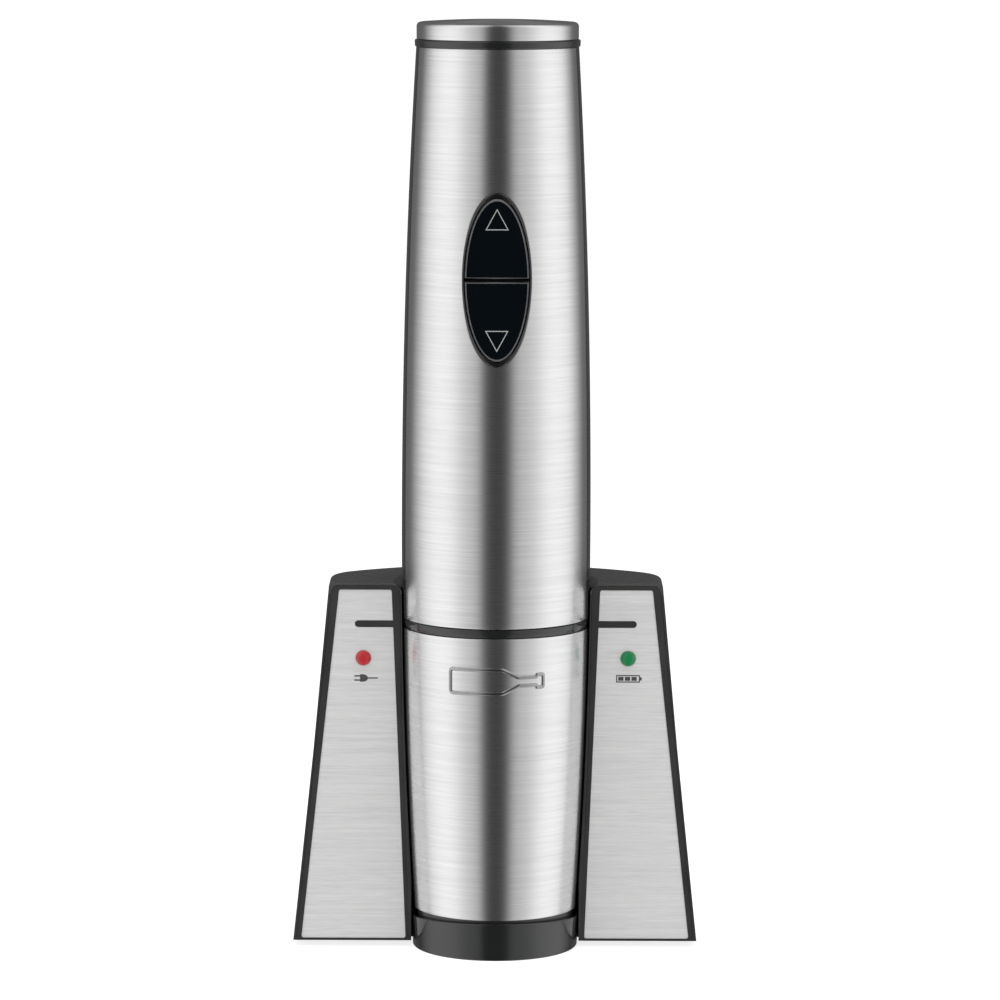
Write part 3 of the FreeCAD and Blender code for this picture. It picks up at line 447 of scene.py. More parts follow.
MAT = {
    "brushed_steel": brushed("steel_barrel", (0.70, 0.70, 0.705), (0.90, 0.90, 0.90),
                             (0.24, 0.34), BARREL_GRAIN, radial=True, anisotropic=0.75,
                             turn=QUARTER),
    "panel_steel": brushed("steel_panel", (0.60, 0.60, 0.60), (0.84, 0.84, 0.835),
                           (0.50, 0.60), PANEL_GRAIN, anisotropic=0.35, relief=1.4,
                           metallic=0.45),
    "emblem": brushed("emblem", (0.34, 0.34, 0.345), (0.5, 0.5, 0.5), (0.16, 0.24),
                      FINE_GRAIN, relief=0.3),
    "zinc": brushed("zinc", (0.42, 0.42, 0.43), (0.55, 0.55, 0.56), (0.35, 0.45),
                    ZINC_GRAIN, relief=0.4),
    "gear_steel": brushed("gear_steel", (0.55, 0.55, 0.56), (0.72, 0.72, 0.72), (0.18, 0.28),
                          GEAR_GRAIN, radial=True, anisotropic=0.3, turn=QUARTER, relief=0.5),
    "brass": brushed("brass", (0.62, 0.44, 0.16), (0.8, 0.6, 0.25), (0.2, 0.3), FINE_GRAIN,
                     relief=0.4),
    "black_gloss": moulded("black_gloss", (0.008, 0.0085, 0.0085), 0.13, grain=900,
                           strength=0.02, coat=0.3, shine=0.7),
    "button_gloss": moulded("button_gloss", (0.0006, 0.0016, 0.0026), 0.08, grain=700,
                            strength=0.005),
    # Lighter grey for the buttons' sloping edges: a painted highlight line where the bevel would
    # catch the light.
    "button_edge_highlight": moulded("button_edge_highlight", (0.070, 0.070, 0.072), 0.32, grain=1500,
                           strength=0.02),
    "bezel_gloss": moulded("bezel_gloss", (0.003, 0.0032, 0.0035), 0.18, grain=900,
                           strength=0.01, shine=1.0),
    "black_satin": moulded("black_satin", (0.022, 0.022, 0.0215), 0.30, grain=2600,
                           strength=0.08, shine=0.9),
    # A lighter copy of black_satin for the base's top cover: painted light on the lid, standing
    # in for light falling on its top.
    "black_satin_lit_top": moulded("black_satin_lit_top", (0.038, 0.038, 0.0375), 0.26, grain=2600,
                         strength=0.08, shine=1.0),
    "rubber": moulded("rubber", (0.02, 0.02, 0.02), 0.75, grain=1800, strength=0.3),
    "circuit": moulded("circuit", (0.006, 0.010, 0.008), 0.4, grain=500, strength=0.1),
    "inner_plastic": moulded("inner_plastic", (0.06, 0.06, 0.063), 0.45),
    "cell_wrap": moulded("cell_wrap", (0.02, 0.12, 0.07), 0.3, grain=400, strength=0.05),
    "ink": moulded("ink", (0.045, 0.045, 0.048), 0.5, grain=1500, strength=0.05),
    "mark": moulded("mark", (0.26, 0.26, 0.26), 0.4, grain=1500, strength=0.05),
    "red_lens": lens_material("red_lens", (0.50, 0.03, 0.035), (0.8, 0.05, 0.06)),
    "green_lens": lens_material("green_lens", (0.01, 0.17, 0.06), (0.02, 0.5, 0.16)),
}


def finish_nodes():
    """Gives every node of the frame its slot's material."""
    for entry in frame["record"]["subparts"]:
        materials = NODES[entry["node"]].data.materials
        materials.clear()
        materials.append(MAT[entry["material_slot"]])


def settle(piece, body, slot, replaced=(), material=None):
    """Gives a new piece its material, the body it rides on and the nodes it stands for."""
    piece.data.transform(Matrix.Translation((0, 0, RISE)))
    piece.data.materials.clear()
    piece.data.materials.append(MAT[material or slot])
    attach(piece, body)
    if replaced:
        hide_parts(*replaced)
    return piece


# ---- opener: turned pieces ----
CAP_FALL, CAP_ROUND, CAP_WALL, CAP_SKIRT = 0.8 * MM, 1.25 * MM, 1.4 * MM, 2.2 * MM
CAP_LIP, CAP_SHEET = 0.25 * MM, 0.9 * MM
DOME_ROWS, SHOULDER_ROWS, WALL_ROWS = 12, 10, 4
RING_GAP = 0.05 * MM
RING_WALL, RING_LIP, RING_EASE = 2.1 * MM, 2.2 * MM, 0.1 * MM
RING_IN, RING_SPIGOT, RING_ROUND = 20 * MM, 21.6 * MM, 0.35 * MM
WAIST_IN, WAIST_LIP = 2.6 * MM, 0.22 * MM
WAIST_FOOT, WAIST_FOOT_HEIGHT = 0.55 * MM, 1.1 * MM
WAIST_TOP, WAIST_TOP_HEIGHT = 0.7 * MM, 0.35 * MM


def steel_cap():
    top, rim, side_r = high("top_cap", 2), low("top_cap", 2), high("top_cap", 0)
    edge_z, dome_r = top - CAP_FALL, side_r - CAP_ROUND
    dome = [(dome_r * f, top - CAP_FALL * f ** 2) for f in steps(0, 1, DOME_ROWS)[:-1]]
    shoulder = [(dome_r + CAP_ROUND * math.sin(a), edge_z - CAP_ROUND * (1 - math.cos(a)))
                for a in steps(0.03, math.pi / 2, SHOULDER_ROWS)]
    wall = [(side_r, z) for z in steps(edge_z - CAP_SKIRT, rim + CAP_LIP, WALL_ROWS)]
    inside = [(side_r - CAP_LIP, rim), (side_r - CAP_WALL, rim),
              (side_r - CAP_WALL, edge_z - CAP_SKIRT), (0, edge_z - CAP_SHEET)]
    settle(lathe("steel_cap", dome + shoulder + wall + inside), "opener", "brushed_steel",
           ["top_cap"])


def cap_ring():
    """The black ring under the cap, with the spigot that goes down into the barrel."""
    foot, outer, deep = UPPER[1] + RING_GAP, high("top_ring", 0), low("top_ring", 2)
    rim = low("top_cap", 2)
    lip = rim + RING_LIP
    corners = [(outer - RING_EASE, foot), (outer, rim - RING_GAP),
               (outer - RING_WALL, rim - RING_GAP), (outer - RING_WALL, lip), (RING_IN, lip),
               (RING_IN, deep), (RING_SPIGOT, deep), (RING_SPIGOT, foot)]
    settle(lathe("cap_ring", rounded(corners, RING_ROUND)), "opener", "black_gloss",
           ["top_ring"])


def waist_ring():
    """The black ring between the barrel and the neck sleeve."""
    z0, z1 = low("middle_ring", 2), high("middle_ring", 2)
    outer = body_r(z1)
    corners = [(outer - WAIST_FOOT, z0, 0.15 * MM),
               (outer - WAIST_LIP, z0 + WAIST_FOOT_HEIGHT, 0.3 * MM),
               (outer - WAIST_LIP, z1 - WAIST_TOP_HEIGHT, 0.15 * MM),
               (outer - WAIST_TOP, z1, 0.1 * MM),
               (outer - WAIST_IN, z1, 0.1 * MM), (outer - WAIST_IN, z0, 0.1 * MM)]
    settle(lathe("waist_ring", rounded(corners, 0)), "opener", "black_gloss", ["middle_ring"])


# ---- opener: steel sleeves ----
SLEEVE_ROWS, SLEEVE_COLUMNS = 90, 120
WINDOW_ROWS, WINDOW_COLUMNS = 114, 98
PATCH_HALF, PATCH_MARGIN, PATCH_LAYERS = 30.0, 4 * MM, 14
TINY = 1e-6
SKIN_EDGE = (0.14 * MM, 2, 60)        # bevel: width, segments, least angle


def thicken(piece):
    """Adds the sheet's thickness on the inside and rounds its edges."""
    face = piece.data.polygons[0]
    centre = Vector((0, AXIS_Y, face.center.z))
    if face.normal.dot(face.center - centre) < 0:
        piece.data.flip_normals()
    solid = piece.modifiers.new("sheet", "SOLIDIFY")
    solid.thickness = SKIN
    solid.offset = -1
    apply_modifiers(piece)
    bevel(piece, *SKIN_EDGE)
    return piece


def sleeve(name, z_range, centre):
    """A thin steel sleeve with rounded edges, over the front or the rear."""
    rows = steps(z_range[0], z_range[1], SLEEVE_ROWS)
    cols = steps(centre - SKIN_HALF, centre + SKIN_HALF, SLEEVE_COLUMNS)
    verts = [around(body_r(z), a, z) for z in rows for a in cols]
    return thicken(make_object(name, verts, grid_faces(len(rows), len(cols))))


def patch_rim(angles, heights):
    """The (degrees, height) border of the patch that holds the window, in order."""
    rim = [(a, heights[0]) for a in angles] + [(angles[-1], z) for z in heights[1:]]
    rim += [(a, heights[-1]) for a in reversed(angles[:-1])]
    rim += [(angles[0], z) for z in reversed(heights[1:-1])]
    return rim


def to_window(a, z):
    """Points on the barrel from one place on the patch's border to the window's edge."""
    x = body_r(z) * math.sin(math.radians(a))
    t = math.atan2((z - BUTTON_Z) / WINDOW[1], x / WINDOW[0])
    hole_z = BUTTON_Z + WINDOW[1] * math.sin(t)
    hole_a = math.degrees(math.asin(WINDOW[0] * math.cos(t) / body_r(hole_z)))
    points = []
    for f in steps(0, 1, PATCH_LAYERS):
        here_z = z + (hole_z - z) * f
        points.append(around(body_r(here_z), a + (hole_a - a) * f, here_z))
    return points


def front_sleeve():
    """The upper front sleeve: four plain bands, and a patch with the buttons' oval window."""
    heights = steps(UPPER[0], UPPER[1], WINDOW_ROWS)
    angles = steps(-SKIN_HALF, SKIN_HALF, WINDOW_COLUMNS)
    patch_z = [z for z in heights if abs(z - BUTTON_Z) < WINDOW[1] + PATCH_MARGIN]
    left = [a for a in angles if a <= -PATCH_HALF]
    right = [a for a in angles if a >= PATCH_HALF]
    edge = min(-left[-1], right[0]) + TINY
    below = [z for z in heights if z <= patch_z[0]]
    above = [z for z in heights if z >= patch_z[-1]]
    verts, faces = [], []
    for cols, rows in ((angles, below), (angles, above), (left, patch_z), (right, patch_z)):
        shift = len(verts)
        verts += [around(body_r(z), a, z) for z in rows for a in cols]
        faces += [tuple(shift + i for i in f) for f in grid_faces(len(rows), len(cols))]
    rim = patch_rim([a for a in angles if abs(a) <= edge], patch_z)
    shift, size = len(verts), PATCH_LAYERS + 1
    for i, (a, z) in enumerate(rim):
        verts += to_window(a, z)
        here, after = shift + i * size, shift + (i + 1) % len(rim) * size
        faces += [(here + k, after + k, after + k + 1, here + k + 1)
                  for k in range(PATCH_LAYERS)]
    return thicken(make_object("sleeve_upper_front", verts, faces))


def sleeves():
    settle(front_sleeve(), "opener", "brushed_steel", ["upper_front_skin"])
    for name, z_range, centre, node in (("sleeve_upper_rear", UPPER, REAR, "upper_rear_skin"),
                                        ("sleeve_neck_front", NECK, FRONT, "neck_front_skin"),
                                        ("sleeve_neck_rear", NECK, REAR, "neck_rear_skin")):
        settle(sleeve(name, z_range, centre), "opener", "brushed_steel", [node])


# ---- opener: black housings ----
HALF_COLUMNS, HALF_STRIP_COLUMNS, NECK_STRIP_COLUMNS = 120, 16, 30
WINDOW_CUT = (-40 * MM, -15 * MM)
HOUSING_EDGE = (0.12 * MM, 2, 60)     # bevel: width, segments, least angle


def oval(semi, count):
    """Closed (x, z) outline about the middle of the button group."""
    return [(semi[0] * math.cos(a), BUTTON_Z + semi[1] * math.sin(a))
            for a in steps(0, 2 * math.pi, count)[:-1]]


def half_housing(name, node, centre, cutters):
    """Half the barrel's housing, with the black strips that show down both its sides."""
    half = lathe("half", barrel_outline(UPPER, LINER_OUT, LINER_IN), centre - STRIP[1],
                 centre + STRIP[1], HALF_COLUMNS)
    if cutters:
        cut(half, cutters)
        discard(cutters)
    skin = barrel_outline(UPPER, 0.0, STRIP_DEPTH)
    strips = [lathe("strip", skin, centre + start, centre + end, HALF_STRIP_COLUMNS)
              for start, end in (STRIP, (-STRIP[1], -STRIP[0]))]
    piece = join([half] + strips, name)
    bevel(piece, *HOUSING_EDGE)
    settle(piece, "opener", "black_gloss", [node])


def neck_tube():
    """The tube inside the neck sleeves, with a black strip down either side."""
    half = RIGHT - STRIP[0]
    skin = barrel_outline(NECK, 0.0, STRIP_DEPTH)
    pieces = [lathe("liner", barrel_outline(NECK, LINER_OUT, LINER_IN))]
    pieces += [lathe("strip", skin, side - half, side + half, NECK_STRIP_COLUMNS)
               for side in (RIGHT, LEFT)]
    piece = join(pieces, "neck_tube")
    bevel(piece, *HOUSING_EDGE)
    settle(piece, "opener", "black_gloss", ["neck_liner"])


def housings():
    half_housing("housing_rear", "rear_housing", REAR, [])
    window = extrude_xz("window", oval(WINDOW, 160), *WINDOW_CUT)
    half_housing("housing_front", "front_housing", FRONT, [window])
    neck_tube()


# ---- buttons ----
BUTTON_PROUD = 0.45 * MM
WALL, FACE = "wall", "face"
# Rings of a button from its back to its face, in millimetres: in from the oval side, in from
# the straight edge, whether it follows the barrel or the flat face, and how far out it stands.
BUTTON_RINGS = ((0.0, 0.0, WALL, -1.0), (0.0, 0.0, WALL, -0.15), (0.07, 0.05, WALL, 0.04),
                (0.40, 0.24, FACE, -0.12), (0.46, 0.30, FACE, -0.04), (0.52, 0.38, FACE, 0.0))
TALL_SHARE = 1.3          # how much more a ring moves in at the oval's ends
CURVE_POINTS, STRAIGHT_POINTS, OVAL_POINTS = 120, 40, 200
BUTTON_SMOOTH = 24
# Faces that turn this far to the front get the painted edge highlight.
HIGHLIGHT_RANGE = (0.1, 0.97)             # how far a sloping face turns to the front
MARK_WIDE, MARK_TALL, MARK_LINE, MARK_APEX = 6.9 * MM, 6.3 * MM, 0.25 * MM, 21.1 * MM
CORNER_FACTOR = 3.15                  # line width to scale, for the triangle's shape
MARK_SUNK, MARK_PROUD = 0.02 * MM, 0.03 * MM
# The rim round the buttons, from its outer wall over the top to the inner wall: share of the
# way in to the hole, and millimetres out from the barrel.
RIM_PROFILE = ((0.0, -2.4), (0.0, 0.05), (0.12, 0.24), (0.4, 0.32), (0.75, 0.3), (0.93, 0.18),
               (1.0, 0.0), (1.0, -2.4))


def face_depth(z, offset):
    """Distance of the buttons' flat face in front of the axis."""
    top, bottom = BUTTON_Z + BUTTON_OVAL[1], BUTTON_Z - BUTTON_OVAL[1]
    share = (z - bottom) / (top - bottom)
    return BUTTON_PROUD + body_r(bottom) + (body_r(top) - body_r(bottom)) * share + offset


def wall_depth(x, z, offset):
    """Distance of the barrel's surface in front of the axis."""
    return math.sqrt((body_r(z) + offset) ** 2 - x * x)


def button_outline(sign, edge, inset):
    """One button's outline; edge is its straight side's distance from the group's middle."""
    wide, tall = BUTTON_OVAL[0] - inset, BUTTON_OVAL[1] - TALL_SHARE * inset
    reach = math.asin(edge / tall)
    curve = [(wide * math.cos(a), BUTTON_Z + sign * tall * math.sin(a))
             for a in steps(reach, math.pi - reach, CURVE_POINTS)]
    across = steps(curve[-1][0], curve[0][0], STRAIGHT_POINTS)[1:-1]
    return curve + [(x, BUTTON_Z + sign * edge) for x in across]


def button(name, sign, gap):
    """A flat-faced button: side wall, sloping edge, rounded shoulder and flat face."""
    verts = []
    for inset, edge_inset, kind, out in BUTTON_RINGS:
        for x, z in button_outline(sign, gap / 2 + edge_inset * MM, inset * MM):
            depth = face_depth(z, out * MM) if kind == FACE else wall_depth(x, z, out * MM)
            verts.append((x, AXIS_Y - depth, z))
    rows = len(BUTTON_RINGS)
    size = len(verts) // rows
    faces = grid_faces(rows, size, closed=True) + end_faces(rows, size)[1:]
    back = BUTTON_Z + sign * BUTTON_OVAL[1] / 2
    verts.append((0, AXIS_Y - wall_depth(0, back, BUTTON_RINGS[0][3] * MM), back))
    faces += [((j + 1) % size, j, len(verts) - 1) for j in range(size)]
    return make_object(name, verts, faces, BUTTON_SMOOTH)


def paint_edge_highlight(piece):
    """Gives the sloping edge of a button, which is neither its face nor its side, a lighter
    satin grey: a painted highlight along the edge.
    """
    piece.data.materials.append(MAT["button_edge_highlight"])
    for face in piece.data.polygons:
        if HIGHLIGHT_RANGE[0] < -face.normal.y < HIGHLIGHT_RANGE[1]:
            face.material_index = 1


def triangle_mark(name, sign):
    """A thin triangle outline printed on a button's face."""
    apex = BUTTON_Z + sign * MARK_APEX
    foot = apex - sign * MARK_TALL
    outer = [Vector((0, apex)), Vector((MARK_WIDE / 2, foot)), Vector((-MARK_WIDE / 2, foot))]
    centre = sum(outer, Vector((0, 0))) / 3
    scale = 1 - MARK_LINE * CORNER_FACTOR / MARK_TALL
    inner = [centre + (c - centre) * scale for c in outer]
    rings = ((outer, -MARK_SUNK), (outer, MARK_PROUD), (inner, MARK_PROUD), (inner, -MARK_SUNK))
    verts = [(c.x, AXIS_Y - face_depth(c.y, out), c.y) for ring, out in rings for c in ring]
    rows, cols = len(rings), len(outer)
    faces = grid_faces(rows, cols, closed=True) + closing_faces(rows, cols)
    return make_object(name, verts, faces)


def button_surround():
    outer = oval((WINDOW[0] - 0.05 * MM, WINDOW[1] - 0.05 * MM), OVAL_POINTS)
    inner = oval(BEZEL_HOLE, OVAL_POINTS)
    verts = []
    for share, out in RIM_PROFILE:
        for p, q in zip(outer, inner):
            x, z = p[0] + (q[0] - p[0]) * share, p[1] + (q[1] - p[1]) * share
            verts.append((x, AXIS_Y - wall_depth(x, z, out * MM), z))
    rows = len(RIM_PROFILE)
    faces = grid_faces(rows, OVAL_POINTS, closed=True) + closing_faces(rows, OVAL_POINTS)
    settle(make_object("button_surround", verts, faces), "opener", "black_gloss",
           ["button_bezel"], "bezel_gloss")


def buttons():
    gap = low("up_button", 2) - high("down_button", 2)
    for word, sign in (("up", 1), ("down", -1)):
        node = word + "_button"
        piece = button("button_" + word, sign, gap)
        # Each button's sloping edge gets the painted highlight.
        paint_edge_highlight(settle(piece, node, "button_gloss", [node]))
        settle(triangle_mark("mark_" + word, sign), node, "button_gloss", (), "mark")


# ---- base ----
HALF_WIDTHS = ((0.0, 61.45 * MM), (60 * MM, 55.1 * MM), (BASE_TOP, 50.3 * MM))
BACK_DEPTHS = ((0.0, 45 * MM), (60 * MM, 39.6 * MM), (BASE_TOP, 35 * MM))
BACK_ARC, BASE_CORNER = 75 * MM, 14 * MM
SIDE_POINTS, CORNER_POINTS, BACK_POINTS, RECESS_POINTS, FRONT_POINTS = 8, 14, 40, 96, 6
RECESS_GAP, RECESS_LOW_Z = 0.45 * MM, 20 * MM
FLARE_HEIGHT, FLARE = 2.4 * MM, 2.15 * MM
SPLIT_GAP = 0.05 * MM
SHELL_LEVELS = steps(10 * MM, 100 * MM, 9)
HOLLOW_INSET, HOLLOW_FRONT, HOLLOW_RECESS_R = 2.3 * MM, 3 * MM, 33.1 * MM
HOLLOW_GAP, HOLLOW_BELOW = 0.02 * MM, 5 * MM
POCKET_GAP, POCKET_DEPTHS = 0.08 * MM, (-2 * MM, 1.2 * MM)
BEZEL_RIM, BEZEL_MID_Z, BEZEL_MID_X, BEZEL_TOP_X = 0.9 * MM, 62 * MM, 28.15 * MM, 29.0 * MM
BEZEL_FOOT_ROUND, BEZEL_OUT_ROUND, BEZEL_IN_ROUND = 0.5 * MM, 2.6 * MM, 2.4 * MM
INLET_R, INLET_DEPTHS, INLET_POINTS = 4.05 * MM, (34 * MM, 60 * MM), 48
LID_FILLET, LID_FRONT_SHARE = 1.1 * MM, 0.35
# Bevels: width, segments, least angle.
SHELL_EDGE, LID_EDGE = (0.35 * MM, 3, 40), (0.3 * MM, 3, 40)
BEZEL_EDGE, PANEL_EDGE, PLATE_EDGE = (0.35 * MM, 3, 50), (0.16 * MM, 2, 50), (0.2 * MM, 2, 50)


def along(table, z):
    """The value at height z in a table of (height, value)."""
    for (z0, a), (z1, b) in zip(table, table[1:]):
        if z <= z1 or z1 == table[-1][0]:
            return a + (b - a) * (z - z0) / (z1 - z0)


def arc_points(centre, radius, start, end, count):
    return [Vector((centre[0] + radius * math.cos(a), centre[1] + radius * math.sin(a)))
            for a in steps(start, end, count)]


def base_outline(z, inset, front, round_r):
    """C-shaped plan about the axis: the D of the base less the round recess.

    It runs from the recess's right edge round the outside to its left edge, and back
    round the recess.  Every height has the same number of points."""
    half = along(HALF_WIDTHS, z) - inset
    back = along(BACK_DEPTHS, z) - inset
    big, small = BACK_ARC - inset, BASE_CORNER - inset
    centre_y = back - big
    drop = math.sqrt((big - small) ** 2 - (half - small) ** 2)
    corner = (half - small, centre_y + drop)
    turn = math.atan2(drop, half - small)
    right = [Vector((half, y)) for y in steps(front, corner[1], SIDE_POINTS)[:-1]]
    right += arc_points(corner, small, 0.0, turn, CORNER_POINTS)[:-1]
    right += arc_points((0, centre_y), big, turn, math.pi / 2, BACK_POINTS)
    left = [Vector((-p.x, p.y)) for p in reversed(right[:-1])]
    edge = math.sqrt(round_r ** 2 - front ** 2)
    start = math.atan2(front, edge)
    recess = arc_points((0, 0), round_r, start, math.pi - start, RECESS_POINTS)
    front_right = [Vector((x, front)) for x in steps(edge, half, FRONT_POINTS)[1:-1]]
    front_left = [Vector((-p.x, p.y)) for p in reversed(front_right)]
    return front_right + right + left + front_left + list(reversed(recess))


def loft(name, rings):
    """Closed solid through (z, outline) rings with the same number of points."""
    rows, cols = len(rings), len(rings[0][1])
    verts = [(p[0], AXIS_Y + p[1], z) for z, ring in rings for p in ring]
    return make_object(name, verts, grid_faces(rows, cols, closed=True) + end_faces(rows, cols))


def recess_r(z):
    """Radius of the space the opener stands in; its top edge flares."""
    flare = max(0.0, (z - (BASE_TOP - FLARE_HEIGHT)) * FLARE / FLARE_HEIGHT)
    return body_r(max(z, RECESS_LOW_Z)) + RECESS_GAP + flare


def wing_pockets():
    """Solids that cut the two shallow pockets for the wing frames."""
    z0, z1 = low("right_bezel", 2) - POCKET_GAP, high("right_bezel", 2) + POCKET_GAP
    grow = POCKET_GAP - BEZEL_RIM
    corners = [(low("right_bezel", 0) - POCKET_GAP, z0, BEZEL_FOOT_ROUND),
               (along(HALF_WIDTHS, z0) + grow, z0, BEZEL_FOOT_ROUND),
               (along(HALF_WIDTHS, z1) + grow, z1, BEZEL_OUT_ROUND),
               (BEZEL_TOP_X - POCKET_GAP, z1, BEZEL_IN_ROUND),
               (BEZEL_MID_X - POCKET_GAP, BEZEL_MID_Z, 0.0)]
    right = rounded(corners, 0.0, 8)
    left = [(-p[0], p[1]) for p in right]
    return [extrude_xz("pocket", outline, *(FRONT_Y + depth for depth in POCKET_DEPTHS))
            for outline in (right, left)]


def base_housing(pockets):
    levels = [BASE_LOW] + SHELL_LEVELS + [BASE_SPLIT - SPLIT_GAP]
    shell = loft("base_housing", [(z, base_outline(z, 0, FRONT_Y, recess_r(z)))
                                  for z in levels])
    under = base_outline(BASE_LOW, HOLLOW_INSET, FRONT_Y + HOLLOW_FRONT, HOLLOW_RECESS_R)
    hollow = loft("hollow", [(BASE_LOW - HOLLOW_BELOW, under),
                             (high("bottom_plate", 2) + HOLLOW_GAP, under)])
    hole = circle((0, centre_of("dc_jack", 2)), INLET_R, INLET_POINTS)
    inlet = extrude_xz("inlet", hole, *INLET_DEPTHS)
    cut(shell, [hollow, inlet] + pockets)
    discard([hollow, inlet])
    bevel(shell, *SHELL_EDGE)
    settle(shell, "base", "black_satin", ["base_shell"])


def base_lid(pockets):
    levels = [(BASE_SPLIT + SPLIT_GAP, 0.0), (BASE_TOP - FLARE_HEIGHT, 0.0)]
    levels += [(BASE_TOP - LID_FILLET * (1 - math.sin(a)), LID_FILLET * (1 - math.cos(a)))
               for a in steps(0, math.pi / 2, 8)]
    lid = loft("base_lid", [(z, base_outline(z, inset, FRONT_Y + LID_FRONT_SHARE * inset,
                                             recess_r(z))) for z, inset in levels])
    cut(lid, pockets)
    bevel(lid, *LID_EDGE)
    # The lid gets the lighter copy of the shell's plastic: painted light on its top.
    settle(lid, "base", "black_satin", ["base_top_cover"], "black_satin_lit_top")


def base_body():
    pockets = wing_pockets()
    base_housing(pockets)
    base_lid(pockets)
    discard(pockets)


def wings():
    for side in ("left", "right"):
        bevel(NODES[side + "_bezel"], *BEZEL_EDGE)
        bevel(NODES[side + "_panel"], *PANEL_EDGE)
    bevel(NODES["bottom_plate"], *PLATE_EDGE)


# ---- cup ----
CUP_FOOT_R, CUP_R, CUP_BORE = 25.0 * MM, 25.5 * MM, 24.15 * MM
CUP_FOOT_ROUND, CUP_RIM_ROUND, CUP_BORE_ROUND, CUP_FLOOR_ROUND = (
    0.5 * MM, 0.45 * MM, 0.35 * MM, 0.6 * MM)
CUP_SLOPE = 4.3           # degrees that the rim falls towards the rear
CUP_LEVEL = 0.2 * MM      # height above the floor at which the slope starts
CUP_GRID = 1.6 * MM
SEAT_GAP, BORE_DRAFT = 0.05 * MM, 0.05 * MM
WELL_WIDE_R, WELL_R, WELL_STEP, WELL_POINTS = 2.25 * MM, 1.3 * MM, 0.95 * MM, 48
FLANGE_IN, FLANGE_OUT, FLANGE_ROUND = 24 * MM, 33 * MM, 0.2 * MM
FLANGE_SPAN, FLANGE_COLUMNS = (94, 266), 90


def pin_well(side, floor_z, seat):
    """The stepped hole that a charging pin and its spring stand in."""
    x, y = (centre_of("contact_pin_" + side, axis) for axis in (0, 1))
    shoulder = high("contact_spring_" + side, 2) + WELL_STEP
    profile = [(WELL_WIDE_R, floor_z - MM), (WELL_WIDE_R, shoulder), (WELL_R, shoulder),
               (WELL_R, seat + MM)]
    verts = [(px, py, z) for r, z in profile for px, py in circle((x, y), r, WELL_POINTS)]
    rows = len(profile)
    faces = grid_faces(rows, WELL_POINTS, closed=True) + end_faces(rows, WELL_POINTS)
    return make_object("well_" + side, verts, faces)


def cup_bowl():
    """The cup with its floor, its rim falling to the rear, and the wells for the pins."""
    z0, rim = low("base_cup", 2), high("base_cup", 2)
    seat = low("bottom_collar", 2) - SEAT_GAP
    corners = [(0, z0, 0), (CUP_FOOT_R, z0, CUP_FOOT_ROUND), (CUP_R, rim, CUP_RIM_ROUND),
               (CUP_BORE + BORE_DRAFT, rim, CUP_BORE_ROUND),
               (CUP_BORE, seat, CUP_FLOOR_ROUND), (0, seat, 0)]
    bowl = lathe("bowl", divided(rounded(corners, 0, 6), CUP_GRID))
    start = seat + CUP_LEVEL
    fall = math.tan(math.radians(CUP_SLOPE))
    for v in bowl.data.vertices:
        share = max(0.0, (v.co.z - start) / (rim - start))
        v.co.z -= share * fall * (v.co.y - AXIS_Y + CUP_R)
    wells = [pin_well(side, z0, seat) for side in ("left", "right")]
    cut(bowl, wells)
    discard(wells)
    return bowl


def cup():
    z0, z1 = low("bottom_plate", 2), high("bottom_plate", 2)
    corners = [(FLANGE_IN, z0), (FLANGE_OUT, z0), (FLANGE_OUT, z1), (FLANGE_IN, z1)]
    flange = lathe("flange", rounded(corners, FLANGE_ROUND), *FLANGE_SPAN, FLANGE_COLUMNS)
    settle(join([cup_bowl(), flange], "base_cup_round"), "base", "black_gloss", ["base_cup"])


# ---- lamps and printed marks ----
# A lens from its crown to its rim: share of its radius, and share of its depth.
LENS_PROFILE = ((0.02, 0.0), (0.35, 0.03), (0.62, 0.12), (0.82, 0.28), (0.94, 0.5),
                (0.99, 0.75), (1.0, 1.0))
LENS_POINTS, LENS_ROOT = 48, 2.0 * MM
INK_PROUD, INK_SUNK = 0.03 * MM, 0.05 * MM
MARK_Z = 81.8 * MM
# Sizes of the printed marks, in millimetres.
PLUG_BACK, PLUG_NOSE, PLUG_HALF, PLUG_SHIFT = -1.0, 1.6, 1.15, -0.2
PRONG_TIP, PRONG_LOW, PRONG_HIGH = -2.7, 0.42, 0.86
CABLE_START, CABLE_END, CABLE_HALF = 1.35, 4.4, 0.2
CELL_HALF_WIDE, CELL_HALF_TALL, CELL_LINE = 3.6, 1.15, 0.34
CELL_NOSE, CELL_NOSE_HALF = 0.55, 0.5
BAR_STARTS, BAR_WIDE, BAR_HALF = (-2.95, -0.95, 1.05), 1.6, 0.6


def lamp(name, x, node):
    """A domed lens, with its root in the wing behind the panel."""
    front = low(node, 1)
    radius = (high(node, 0) - low(node, 0)) / 2
    rings = [(r * radius, front + d * (PANEL_Y - front)) for r, d in LENS_PROFILE]
    rings.append((radius, PANEL_Y + LENS_ROOT))
    verts = [(px, y, pz) for r, y in rings for px, pz in circle((x, LAMP_Z), r, LENS_POINTS)]
    rows = len(rings)
    faces = grid_faces(rows, LENS_POINTS, closed=True) + end_faces(rows, LENS_POINTS)
    return make_object(name, verts, faces)


def lamps():
    for name, x, slot, node in (("lamp_red", -LAMP_X, "red_lens", "power_lens"),
                                ("lamp_green", LAMP_X, "green_lens", "charge_lens")):
        settle(lamp(name, x, node), "base", slot, [node])


def plate_mark(name, outlines, x_mid):
    """A flat mark printed on a wing panel, from closed outlines in millimetres."""
    verts, faces = [], []
    for outline in outlines:
        shift = len(verts)
        placed = [(x_mid + p[0] * MM, MARK_Z + p[1] * MM) for p in outline]
        points, sides = plate(placed, PANEL_Y - INK_PROUD, PANEL_Y + INK_SUNK)
        verts += points
        faces += [tuple(shift + i for i in side) for side in sides]
    settle(make_object(name, verts, faces), "base", "black_satin", (), "ink")


def box_outline(x0, x1, z0, z1):
    return [(x0, z0), (x1, z0), (x1, z1), (x0, z1)]


